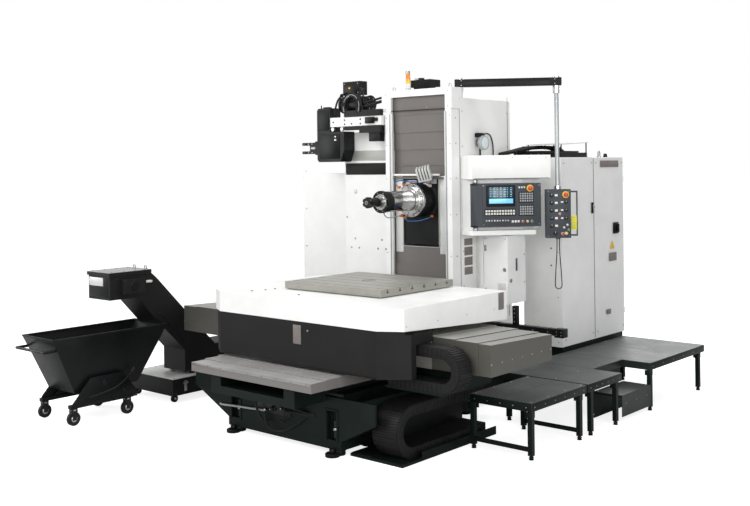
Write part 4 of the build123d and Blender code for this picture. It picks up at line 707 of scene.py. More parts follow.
@dataclass
class CableChains:
    """Links of the two cable chains: an outer rib, two side plates and a pin each."""

    rib: float = 0.005
    rib_half: float = 0.009
    pitch: float = 0.055
    plate: float = 0.004
    edge: float = 0.0012

    def link(self, width: float, band: float, pin: float) -> Part:
        """Model one link at the origin: X along the chain, Z outwards from its outer face.

        Args:
            width: width of the chain.
            band: height of a link.
            pin: radius of the pin heads.

        Returns:
            The link as one part.
        """
        half, p = width / 2, self.pitch
        parts = [Bench.block((middle * p - self.rib_half, -half + 0.004, -0.002),
                             (middle * p + self.rib_half, half - 0.004, self.rib), self.edge)
                 for middle in (-0.25, 0.25)]
        outline = [(-p * 0.47, -0.006), (p * 0.47, -0.006), (p * 0.42, -band * 0.55), (p * 0.26, -band + 0.006),
                   (-p * 0.26, -band + 0.006), (-p * 0.42, -band * 0.55)]
        for side in (-1, 1):
            low, high = sorted((side * half, side * (half + self.plate)))
            parts.append(Bench.prism(outline, "Y", low, high, self.edge))
            parts.append(Bench.rod((0, side * half, -band / 2), (0, side * (half + self.plate + 0.002), -band / 2),
                                   pin, 10, 0))
        return Bench.join(parts)

    def places(self, centre: Point, outer: float, run: float, along: Point) -> list[Matrix]:
        """Frames of the links along both runs and the bend.

        Args:
            centre: centre of the bend.
            outer: outer radius of the bend.
            run: length of each run.
            along: direction of the runs, away from the bend.

        Returns:
            One frame for each link.
        """
        up, way, middle = Vector(UP), Vector(along), Vector(centre)
        made = []

        def frame_at(point: Vector, tangent: Vector, outward: Vector) -> Matrix:
            """Frame with X along the tangent and Z outwards."""
            turn = Matrix((tangent, outward.cross(tangent), outward)).transposed().to_4x4()
            return Matrix.Translation(point) @ turn

        for index in range(int(run / self.pitch)):
            reach = way * (index + 0.5) * self.pitch
            for side in (1, -1):
                made.append(frame_at(middle + reach + up * outer * side, way * side, up * side))
        turns = round(math.pi * outer / self.pitch)
        for index in range(turns):
            angle = math.pi * (index + 0.5) / turns
            outward = up * math.cos(angle) - way * math.sin(angle)
            tangent = way * math.cos(angle) + up * math.sin(angle)
            made.append(frame_at(middle + outward * outer, tangent, outward))
        return made

    def build(self) -> None:
        """Dress the large chain beside the bed and the small one on the saddle."""
        large = SubAssembly("large_chain_links", "base")
        places = self.places((1.305, -0.145, 0.285), 0.255, 1.19, BACK)
        large.add(NYLON, *Bench.copies(self.link(0.31, 0.105, 0.011), places))
        low = 0.03
        # Painted shade: a black sheet on the floor and an upright black sheet behind the chain loop stand in for the
        # shade under the bed's side
        large.block(BLACK, (0.87, -0.385, low - 0.004), (1.13, 1.1, low + 0.008), 0.002)
        large.block(BLACK, (1.122, -0.1, low), (1.132, 1.1, 0.43), 0.002)
        large.rod(STEEL, (1.145, -0.18, 0.36), (1.145, -0.06, 0.40), 0.012)
        large.rod(STEEL, (1.148, -0.2, 0.345), (1.148, -0.15, 0.37), 0.02)
        large.close()
        small = SubAssembly("small_chain_links", "saddle")
        places = self.places((1.89, -0.15, 0.935), 0.21, 0.66, LEFT)
        small.add(NYLON, *Bench.copies(self.link(0.2, 0.095, 0.01), places))
        for x in spread(1.3, 1.85, 6):
            small.rod(RUBBER, (x, -0.14, 1.05), (x + 0.02, -0.14, 1.05), 0.02, 10)
        small.close()


@dataclass
class OperatorPanel:
    """Screen housing, keys, knobs and buttons of the operator's panel, in its own frame."""

    face: float = -0.055

    def keypad(self, part: SubAssembly, finish: Finish, left: float, low: float, columns: int, rows: int,
               pitch: float) -> None:
        """Add a raised frame with a grid of small keys.

        Args:
            part: the sub-assembly to add to.
            finish: finish of the keys.
            left: left edge of the frame.
            low: lower edge.
            columns: keys across.
            rows: keys down.
            pitch: spacing of the keys.
        """
        width, height = columns * pitch + 0.014, rows * pitch + 0.014
        part.block(BLACK, (left, self.face - 0.004, low), (left + width, self.face, low + height), 0.002)
        size = pitch * 0.72
        key = Bench.block((-size / 2, -0.004, -size / 2), (size / 2, 0.0, size / 2), 0.0015)
        places = [Matrix.Translation((left + 0.007 + (c + 0.5) * pitch, self.face - 0.004,
                                      low + 0.007 + (r + 0.5) * pitch))
                  for c in range(columns) for r in range(rows)]
        part.add(finish, *Bench.copies(key, places))

    def mushroom(self, part: SubAssembly, x: float, z: float, radius: float) -> None:
        """Add an emergency stop: a yellow ring and a red mushroom head."""
        part.turn(YELLOW, [(0, 0), (radius * 1.5, 0), (radius * 1.5, 0.004), (radius * 1.3, 0.006), (0, 0.006)],
                  (x, self.face, z), FRONT, 28)
        part.turn(RED, [(0, 0.004), (radius * 0.6, 0.004), (radius * 0.6, 0.016), (radius, 0.018), (radius, 0.026),
                        (radius * 0.8, 0.032), (0, 0.034)], (x, self.face, z), FRONT, 28)

    def button(self, part: SubAssembly, finish: Finish, x: float, z: float, radius: float = 0.011) -> None:
        """Add a round push button in a steel bezel."""
        part.turn(STEEL, [(radius, 0), (radius * 1.35, 0), (radius * 1.35, 0.003), (radius * 1.1, 0.005),
                          (radius, 0.005)], (x, self.face, z), FRONT, 18)
        part.turn(finish, [(radius, 0), (radius, 0.006), (radius * 0.8, 0.008), (0, 0.008)], (x, self.face, z),
                  FRONT, 18)

    def build(self) -> None:
        """Dress the panel's face, its post and its back."""
        part = SubAssembly("panel", "operator_panel", standing(0.745, 1.925, 48.6))
        face = self.face
        part.block(PANEL_GREY, (0.075, face - 0.006, 2.15), (0.765, face, 2.625), 0.004)
        self.face = face - 0.006
        part.block(BLACK, (0.118, face - 0.03, 2.37), (0.462, self.face, 2.618), 0.008)
        part.block(SCREEN, (0.142, face - 0.032, 2.402), (0.438, face - 0.028, 2.598), 0.001)
        part.block(DISPLAY, (0.148, face - 0.0328, 2.408), (0.432, face - 0.0315, 2.462), 0.0003)
        for row, z in enumerate(spread(2.485, 2.585, 6)):
            for x in spread(0.155, 0.40, 7):
                finish = (SCREEN_GREEN, DISPLAY, KEY_LIGHT)[(row + round(x * 40)) % 3]
                part.block(finish, (x, face - 0.0328, z), (x + 0.012 + 0.008 * ((row * 3 + round(x * 25)) % 3),
                                                           face - 0.0315, z + 0.006), 0.0)
        self.keypad(part, KEY_LIGHT, 0.096, 2.262, 11, 2, 0.0328)
        for x in spread(0.12, 0.38, 9):
            self.button(part, KEY_LIGHT if int(x * 100) % 2 else KEY_GREY, x, 2.205, 0.008)
        self.keypad(part, KEY_GREY, 0.508, 2.412, 6, 4, 0.028)
        self.keypad(part, KEY_GREY, 0.508, 2.258, 6, 4, 0.028)
        self.mushroom(part, 0.645, 2.58, 0.027)
        for x in (0.517, 0.547, 0.577):
            self.button(part, KEY_LIGHT, x, 2.59, 0.009)
        for x in (0.42, 0.455, 0.49):
            part.block(KEY_LIGHT, (x, self.face - 0.004, 2.18), (x + 0.026, self.face, 2.206), 0.002)
        for finish, x in ((RED, 0.556), (YELLOW, 0.612), (GREEN, 0.666)):
            self.button(part, finish, x, 2.192, 0.012)
        part.screws(STEEL, grid((0.085, 0.755), self.face, (2.16, 2.615)), FRONT, 0.005)
        part.block(PANEL_GREY, (0.05, 0.055, 2.17), (0.74, 0.068, 2.60), 0.006)
        for z in spread(2.25, 2.52, 10):
            part.block(BLACK, (0.2, 0.066, z), (0.6, 0.07, z + 0.008), 0.001)
        part.screws(STEEL, grid((0.07, 0.72), 0.068, (2.19, 2.58)), BACK, 0.005)
        for z in (2.09, 2.652):
            part.rod(STEEL, (0, 0, z), (0, 0, z + 0.03), 0.033)
        part.rod(BLACK, (0, 0, 2.135), (0, 0, 2.15), 0.058, 32)
        part.rod(BLACK, (0, 0, 2.62), (0, 0, 2.635), 0.058, 32)
        part.line(RUBBER, [(0.3, 0.06, 2.6), (0.3, 0.1, 2.63), (0.15, 0.1, 2.6), (0.05, 0.07, 2.62)], 0.012)
        part.close()


@dataclass
class Pendant:
    """Knobs, buttons and handle of the control pendant, with its hanging cable."""

    face: float = -0.06
    cord_radius: float = 0.006
    exit_z: float = 1.965

    def knob(self, part: SubAssembly, x: float, z: float, radius: float = 0.017) -> None:
        """Add a rotary switch: a dark bezel, a fluted black knob and its pale pointer.

        Args:
            part: the sub-assembly to add to.
            x: place across the face.
            z: height of its centre.
            radius: radius of the knob.
        """
        profile = [(0, 0), (radius * 1.45, 0), (radius * 1.45, 0.003), (radius * 1.25, 0.005), (0, 0.005)]
        part.turn(TOOL_STEEL, profile, (x, self.face, z), FRONT, 24)
        part.rod(BLACK, (x, self.face - 0.004, z), (x, self.face - 0.024, z), radius, 12, radius * 0.86)
        part.block(KEY_LIGHT, (x - 0.0025, self.face - 0.0262, z),
                   (x + 0.0025, self.face - 0.0235, z + radius), 0.0006)

    def build(self) -> None:
        """Dress the pendant and hang its cable."""
        place = standing(1.391, 2.697, 41.2)
        part = SubAssembly("pendant_fittings", "pendant", place)
        panel = OperatorPanel()
        part.block(PANEL_GREY, (-0.133, self.face - 0.005, 2.0), (0.133, self.face, 2.545), 0.004)
        self.face = panel.face = self.face - 0.005
        for z in spread(2.49, 2.13, 5):
            self.knob(part, -0.085, z)
            part.plate(PLATE, (-0.045, self.face - 0.001, z - 0.012), (-0.012, self.face, z + 0.012), FRONT)
        panel.mushroom(part, 0.083, 2.497, 0.027)
        for z in (2.41, 2.315, 2.22):
            self.knob(part, 0.085, z, 0.015)
            part.plate(PLATE, (0.025, self.face - 0.001, z - 0.008), (0.055, self.face, z + 0.008), FRONT)
        panel.button(part, ORANGE, 0.012, 2.27, 0.012)
        self.knob(part, -0.045, 2.045, 0.02)
        for finish, x, z in ((RED, 0.045, 2.035), (YELLOW, 0.088, 2.04), (GREEN, 0.115, 2.08),
                             (KEY_LIGHT, 0.06, 2.11), (KEY_LIGHT, 0.1, 2.14)):
            panel.button(part, finish, x, z, 0.015 if z < 2.05 else 0.011)
        part.screws(STEEL, grid((-0.123, 0.123), self.face, (2.01, 2.535)), FRONT, 0.004)
        part.block(SHEET_YELLOW, (0.155, -0.014, 2.08), (0.222, -0.0095, 2.245), 0.0006)
        for z in spread(2.1, 2.22, 5):
            part.block(KEY_GREY, (0.168, -0.0146, z), (0.214, -0.0138, z + 0.005), 0.0002)
        part.screws(STEEL, grid((-0.1, 0.1), 0.06, (2.05, 2.5)), BACK, 0.005)
        part.block(PANEL_GREY, (-0.12, 0.058, 2.03), (0.12, 0.066, 2.52), 0.004)
        part.rod(STEEL, (0, 0, 2.54), (0, 0, 2.575), 0.04, 28, 0.032)
        for side in (-0.014, 0.014):
            part.rod(BLACK, (side, 0, self.exit_z + 0.004), (side, 0, self.exit_z + 0.02), 0.0125, 6)
        part.close()
        self.cord(place)

    def cord(self, place: Matrix) -> None:
        """Hang the cable in its loop from one gland to the other.

        Args:
            place: the pendant's own frame.
        """
        down = [(14, 0), (14, -100), (21, -230), (33, -385), (39, -500), (40, -561.6), (16.6, -585)]
        route = [(-x, z) for x, z in down] + down[::-1]
        points = [tuple(place @ Vector((x / 1000, 0, self.exit_z + z / 1000))) for x, z in route]
        cable = Bench.curve("pendant_cable", points, self.cord_radius, 3, 8)
        cable.data.materials.append(SHOP.get(RUBBER))
        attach(cable, "pendant")
        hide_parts("pendant_cord")
        LOG.info("pendant_cable: hangs on pendant")


@dataclass
class PendantArm:
    """Pole, steel sleeves, pivot and cover strip of the swing arm."""

    pole: float = 0.0258
    sleeve: float = 0.042
    reach: tuple[float, float] = (0.941, 0.647)
    top: float = 3.884

    def build(self) -> None:
        """Dress the pole, the pivot and the beam."""
        part = SubAssembly("arm_fittings", "arm", standing(0.45, 2.05, math.degrees(math.atan2(*self.reach[::-1]))))
        length = math.hypot(*self.reach)
        part.rod(CAST_ALUMINIUM, (length, 0, 2.6), (length, 0, 3.79), self.pole, 28)
        for z, tall in ((3.70, 0.09), (self.top, 0.02), (2.562, 0.04)):
            part.rod(CHROME, (length, 0, z), (length, 0, z + tall), self.sleeve, 28)
        part.rod(CHROME, (0, 0, self.top), (0, 0, self.top + 0.018), self.sleeve, 28)
        part.block(BLACK, (0.05, -0.052, 3.80), (length - 0.08, -0.05, 3.876), 0.0004)
        for x in (0.02, length - 0.02):
            part.screws(STEEL, grid(x, -0.05, (3.81, 3.865)), FRONT, 0.006)
        part.close()


@dataclass
class SpindleHead:
    """Flange bolts, rings, cutter inserts, coolant hoses and lamp of the spindle head."""

    height: float = 2.443
    flange_face: float = 1.605
    ring_face: float = 1.645
    nose_face: float = 1.095
    hose: float = 0.0068

    def flange(self) -> None:
        """Bolts and turned steps of the flange and the dark seat behind it."""
        part = SubAssembly("flange_fittings", "head")
        centre = (0, self.ring_face, self.height)
        part.screws(TOOL_STEEL, ring(centre, 0.183, 12, "Y", 15), FRONT, 0.0085)
        part.screws(TOOL_STEEL, ring((0, self.flange_face, self.height), 0.15, 8, "Y"), FRONT, 0.007)
        part.turn(CHROME, [(0.1245, 0.001), (0.132, 0.001), (0.132, -0.006), (0.1245, -0.006), (0.1245, 0.001)],
                  (0, self.flange_face, self.height), BACK, 56)
        part.turn(CHROME, [(0.165, 0), (0.1685, 0.002), (0.1685, 0.012), (0.165, 0.014)],
                  (0, self.flange_face + 0.01, self.height), BACK, 56)
        part.screws(STEEL, ring((0, 1.852, self.height), 0.248, 12, "Y", 15), FRONT, 0.009)
        part.turn(BLACK, [(0.207, 0.012), (0.262, 0.012), (0.262, 0.0), (0.256, -0.004), (0.207, -0.004)],
                  (0, 1.846, self.height), BACK, 56)
        part.close()

    def window(self) -> None:
        """Frame strips, ledge and blocks of the dark window that the snout comes through."""
        part = SubAssembly("head_window", "head")
        for side in (-1, 1):
            low, high = sorted((side * 0.273, side * 0.281))
            part.block(APRON, (low, 1.836, 1.88), (high, 1.848, 2.70), 0.001)
        for low, high in ((-0.398, -0.284), (0.284, 0.398)):
            part.block(PLATE, (low, 1.8445, 1.80), (high, 1.847, 2.733), 0.001)
        for z in (1.873, 2.70):
            part.block(APRON, (-0.281, 1.836, z), (0.281, 1.848, z + 0.008), 0.001)
        part.block(PLATE, (0.045, 1.836, 2.60), (0.17, 1.853, 2.66), 0.004)
        part.block(CAST_ALUMINIUM, (-0.23, 1.838, 2.63), (-0.06, 1.853, 2.68), 0.004)
        part.block(WHITE, (-0.415, 1.812, 2.735), (0.30, 1.844, 2.76), 0.003)
        part.close()

    def hoses(self) -> None:
        """Blue air hoses with orange fittings and thin grey coolant lines round the flange."""
        part = SubAssembly("head_hoses", "head")
        runs = (
            (BLUE_HOSE, [(-0.075, 1.60, 2.63), (-0.07, 1.57, 2.66), (-0.01, 1.60, 2.67), (0.07, 1.70, 2.665),
                         (0.14, 1.80, 2.65), (0.145, 1.852, 2.64)]),
            (BLUE_HOSE, [(-0.16, 1.62, 2.60), (-0.2, 1.58, 2.64), (-0.22, 1.66, 2.68), (-0.18, 1.78, 2.68),
                         (-0.15, 1.852, 2.655)]),
            (BLUE_HOSE, [(-0.075, 1.62, 2.235), (-0.02, 1.58, 2.20), (0.06, 1.64, 2.195), (0.15, 1.75, 2.215),
                         (0.17, 1.852, 2.25)]),
            (KEY_GREY, [(-0.13, 1.60, 2.26), (-0.17, 1.48, 2.235), (-0.16, 1.36, 2.25), (-0.11, 1.28, 2.30)]),
        )
        for finish, points in runs:
            part.line(finish, points, self.hose if finish is BLUE_HOSE else 0.006)
        for x, z in ((-0.075, 2.63), (-0.16, 2.60), (-0.075, 2.235), (-0.13, 2.26)):
            part.rod(ORANGE, (x, 1.63, z), (x, 1.595, z), 0.016, 12, 0.013)
            part.rod(STEEL, (x, 1.645, z), (x, 1.628, z), 0.018, 6)
        for x, z in ((0.145, 2.64), (-0.15, 2.655), (0.17, 2.25)):
            part.rod(ORANGE, (x, 1.852, z), (x, 1.825, z), 0.016, 12, 0.013)
        part.rod(STEEL, (-0.11, 1.285, 2.30), (-0.085, 1.22, 2.325), 0.008, 12, 0.004)
        part.close()

    def lamp(self) -> None:
        """Cooling fins, lens and bracket of the work lamp at the head's upper right."""
        tilt = (Matrix.Translation((0.165, 1.70, 2.765)) @ Matrix.Rotation(math.radians(25), 4, "X")
                @ Matrix.Rotation(math.radians(30), 4, "Z"))
        part = SubAssembly("work_lamp_fins", "head", tilt)
        part.block(TOOL_STEEL, (-0.068, -0.04, -0.07), (0.068, 0.04, 0.07), 0.004)
        for x in spread(-0.07, 0.07, 5):
            part.block(PLATE, (x - 0.0115, -0.054, -0.075), (x + 0.0115, 0.054, 0.08), 0.004)
        part.block(PLATE, (-0.08, -0.05, -0.084), (0.08, 0.05, -0.066), 0.004)
        part.block(KEY_LIGHT, (-0.068, -0.04, -0.088), (0.068, 0.04, -0.083), 0.001)
        part.close()
        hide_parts("work_lamp")
        stem = SubAssembly("work_lamp_stem", "head")
        stem.block(CAST_ALUMINIUM, (0.18, 1.70, 2.665), (0.205, 1.849, 2.69), 0.003)
        stem.close()
        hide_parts("work_lamp")
        stand = SubAssembly("work_lamp_stand", "head")
        stand.block(KEY_GREY, (0.148, 1.72, 2.655), (0.222, 1.745, 2.70), 0.003)
        stand.block(KEY_GREY, (0.14, 1.832, 2.64), (0.245, 1.85, 2.72), 0.003)
        stand.line(RUBBER, [(0.17, 1.74, 2.70), (0.2, 1.78, 2.64), (0.21, 1.83, 2.62), (0.21, 1.85, 2.6)], 0.005)
        stand.close()

    def nose(self) -> None:
        """Bright ring and keys of the quill's nose, and the cutter with its inserts."""
        quill = SubAssembly("quill_nose", "quill")
        quill.turn(CHROME, [(0.073, -0.001), (0.09, -0.001), (0.093, -0.006), (0.088, -0.011), (0.073, -0.011),
                            (0.073, -0.001)], (0, self.nose_face, self.height), BACK, 48)
        quill.turn(BLACK, [(0.094, 0.001), (0.094, -0.006), (0.124, -0.006), (0.1295, 0.0), (0.1295, 0.036),
                           (0.1215, 0.04), (0.1215, 0.115), (0.12, 0.117)],
                   (0, self.nose_face, self.height), BACK, 56)
        quill.screws(STEEL, ring((0, 1.089, self.height), 0.11, 8, "Y", 20), FRONT, 0.006)
        quill.close()
        tool = SubAssembly("cutter_inserts", "spindle")
        for place in ring((0, 0.868, self.height), 0.0565, 6, "Y", 30):
            outward = Vector((place[0], 0, place[2] - self.height)).normalized()
            turn = Matrix((outward.cross(Vector(BACK)), Vector(BACK), outward)).transposed().to_4x4()
            insert = Bench.block((-0.004, -0.012, -0.008), (0.004, 0.012, 0.008), 0.001)
            insert.data.transform(Matrix.Translation(place) @ turn)
            tool.add(STEEL, insert)
        tool.rod(STEEL, (0, 0.846, self.height), (0, 0.852, self.height), 0.022, 24)
        tool.rod(TOOL_STEEL, (0, 0.844, self.height), (0, 0.85, self.height), 0.012, 6)
        for angle in (0, 180):
            x = 0.052 * math.cos(math.radians(angle))
            tool.block(STEEL, (x - 0.012, 1.045, self.height - 0.012), (x + 0.012, 1.062, self.height + 0.012), 0.002)
        tool.close()

    def build(self) -> None:
        """Dress the whole head."""
        self.flange()
        self.window()
        self.hoses()
        self.lamp()
        self.nose()


@dataclass
class Table:
    """Bore rim and screws of the rotary table, and fittings of its guard and skirt."""

    top: float = 1.6
    left: float = -0.464
    right: float = 0.936
    back: float = 1.22
    deck: float = 1.515
    guard_front: float = -0.57
    guard_side: float = 1.597

    def turntable(self) -> None:
        """Rim of the centre bore, bolt pairs and the lower edge of the rotary table."""
        part = SubAssembly("table_fittings", "turntable")
        middle = ((self.left + self.right) / 2, self.back / 2)
        part.turn(TOOL_STEEL, [(0.062, 0), (0.062, 0.0012), (0.075, 0.0012), (0.075, 0)],
                  (*middle, self.top), UP, 40)
        for x in (self.left + 0.22, self.right - 0.22):
            part.screws(STEEL, [(x - 0.02, 0.0, 1.56), (x + 0.02, 0.0, 1.56)], FRONT, 0.009)
        for y in (0.25, 0.97):
            part.screws(STEEL, [(self.right, y - 0.02, 1.56), (self.right, y + 0.02, 1.56)], RIGHT, 0.009)
        part.block(TABLE, (self.left + 0.03, -0.006, 1.534), (self.right - 0.03, 0.0, 1.5385), 0.001)
        part.close()

    def guard(self) -> None:
        """Screws and bare plates of the white guard and the skirt below it."""
        part = SubAssembly("guard_fittings", "table_slide")
        places = ((-0.625, -0.342), (-0.569, -0.193), (-0.55, -0.07), (0.038, -0.281))
        part.screws(TOOL_STEEL, [(x, y, self.deck) for x, y in places], UP, 0.012)
        part.plate(SIGN, (self.guard_side, 1.13, 1.325), (self.guard_side + 0.0015, 1.232, 1.505), RIGHT, STEEL)
        part.screws(KEY_GREY, grid(self.guard_side, spread(-0.4, 1.05, 4), 1.345), RIGHT, 0.006)
        part.close()
        skirt = SubAssembly("skirt_fittings", "table_slide")
        front = self.guard_front
        skirt.plate(SIGN, (0.245, front - 0.0016, 1.07), (0.357, front, 1.262), FRONT, STEEL)
        skirt.rod(BLACK, (0.454, front - 0.002, 1.218), (0.454, front + 0.004, 1.218), 0.02, 20)
        skirt.rod(STEEL, (0.454, front - 0.004, 1.218), (0.454, front, 1.218), 0.012, 6)
        skirt.block(BLACK, (-0.89, front - 0.004, 0.846), (1.36, front, 0.862), 0.001)
        skirt.close()

    def build(self) -> None:
        """Dress the table and its guard."""
        self.turntable()
        self.guard()


@dataclass
class Column:
    """Screws, rails, bare signs, cap fittings and lamps of the column."""

    half: float = 0.515
    foot: float = 0.9
    top: float = 3.53
    post_face: float = 1.79
    rail_face: float = 1.786
    lamp_face: float = 0.635

    def casing(self) -> None:
        """Rails with screws beside the shutters, and screws on the posts."""
        part = SubAssembly("casing_fittings", "base")
        for side in (-1, 1):
            low, high = sorted((side * 0.425, side * 0.442))
            part.block(KEY_GREY, (low, self.rail_face, 0.95), (high, self.post_face, 3.50), 0.001)
            low, high = sorted((side * 0.404, side * 0.418))
            part.block(PLATE, (low, 1.795, 0.95), (high, 1.825, 3.50), 0.001)
            part.screws(STEEL, grid(side * 0.434, self.rail_face, spread(1.0, 3.46, 15)), FRONT, 0.0055)
            part.screws(STEEL, grid(side * 0.49, self.post_face, (1.05, 1.786, 2.28, 2.702, 3.115, 3.45)),
                        FRONT, 0.007)
        part.block(WHITE, (-0.40, 1.822, 0.92), (0.40, 1.83, 0.96), 0.002)
        part.close()

    def cap(self) -> None:
        """Base, caps and lens rings of the beacon, and the column cap's screws and lifting rings."""
        part = SubAssembly("cap_fittings", "base")
        x, y = -0.19, 1.86
        part.rod(CAST_ALUMINIUM, (x, y, 3.784), (x, y, 3.806), 0.036, 28, 0.033)
        part.rod(KEY_LIGHT, (x, y, 3.806), (x, y, 3.868), 0.0295, 28)
        part.rod(STEEL, (x, y, 3.985), (x, y, 4.02), 0.0315, 28, 0.028)
        part.rod(YELLOW, (x, y, 3.868), (x, y, 3.905), 0.0312, 28)
        part.rod(STEEL, (x, y, 3.905), (x, y, 3.911), 0.0318, 28)
        for z in spread(3.885, 3.985, 6):
            part.turn(AMBER, [(0.027, -0.004), (0.0302, 0), (0.027, 0.004)], (x, y, z), UP, 28)
        part.screws(STEEL, grid((-0.5, -0.2, 0.15, 0.46), self.post_face, 3.56), FRONT, 0.007)
        part.screws(STEEL, grid((-0.5, 0.46), self.post_face, 3.74), FRONT, 0.007)
        part.block(CHARCOAL, (-0.42, 1.80, 3.531), (0.42, 1.835, 3.537), 0.001)
        for x in (-0.45, 0.42):
            part.rod(STEEL, (x, 1.9, 3.784), (x, 1.9, 3.79), 0.022, 20)
            part.line(STEEL, [(x - 0.018, 1.9, 3.788), (x - 0.024, 1.9, 3.82), (x, 1.9, 3.838),
                              (x + 0.024, 1.9, 3.82), (x + 0.018, 1.9, 3.788)], 0.005)
        part.close()

    def side(self) -> None:
        """Joints, screws, lamp, cable and a strip of bare signs on the right side."""
        part = SubAssembly("column_side", "base")
        x = self.half
        part.block(CHARCOAL, (x - 0.001, 1.948, self.foot), (x + 0.0006, 1.9515, self.top), 0.0)
        part.screws(STEEL, grid(x, 1.87, (3.119, 2.707, 2.274, 1.783, 3.42, 1.35, 1.0)), RIGHT, 0.008)
        part.screws(STEEL, grid(x, (2.0, 2.95), spread(1.0, 3.5, 7)), RIGHT, 0.008)
        for low, high in ((1.9, 1.98), (1.78, 1.88), (1.66, 1.76), (1.55, 1.64)):
            part.plate(SIGN, (x, 2.015, low), (x + 0.0015, 2.18, high), RIGHT)
        part.block(CHARCOAL, (x, 2.96, 0.95), (x + 0.002, 2.965, 3.7), 0.0)
        part.close()
        lamp = SubAssembly("side_lamp_fittings", "base")
        y, z = 2.3, 3.125
        lamp.turn(CAST_ALUMINIUM, [(0.087, -0.01), (0.087, 0.0), (0.08, 0.004), (0.076, 0.004)],
                  (self.lamp_face, y, z), RIGHT, 40)
        lamp.turn(KEY_LIGHT, [(0.076, 0.0), (0.06, 0.003), (0.0, 0.004)], (self.lamp_face, y, z), RIGHT, 40)
        for place in ring((0.6385, y, z), 0.052, 8, "X"):
            lamp.turn(DISPLAY, [(0.011, 0), (0.009, 0.0016), (0, 0.0022)], place, RIGHT, 12)
        for x in spread(0.592, 0.626, 4):
            lamp.turn(CAST_ALUMINIUM, [(0.084, -0.003), (0.0885, 0), (0.084, 0.003)], (x, y, z), RIGHT, 40)
        lamp.block(BLACK, (0.519, y - 0.05, z + 0.07), (0.6, y + 0.05, z + 0.12), 0.004)
        lamp.rod(BLACK, (0.56, y, z + 0.03), (0.56, y, z + 0.115), 0.014)
        lamp.rod(BLACK, (0.56, y, 2.96), (0.56, y, z - 0.02), 0.012)
        lamp.line(RUBBER, [(0.56, y + 0.05, z + 0.1), (0.55, y + 0.2, z + 0.14), (0.54, y + 0.3, z + 0.02),
                           (0.535, y + 0.32, z - 0.15), (0.53, y + 0.3, z - 0.2)], 0.008)
        lamp.close()

    def shutters(self) -> None:
        """Folded seams of the shutter sheets."""
        for name, body, front, z in (("upper_shutter_seams", "shutter_upper", 1.848, 3.268),
                                     ("lower_shutter_seams", "shutter_lower", 1.856, 3.058),
                                     ("head_sheet_seams", "head", 1.846, 2.86)):
            part = SubAssembly(name, body)
            part.block(SHUTTER, (-0.4, front - 0.002, z), (0.4, front, z + 0.01), 0.001)
            part.close()

    def build(self) -> None:
        """Dress the whole column."""
        self.casing()
        self.cap()
        self.side()
        self.shutters()


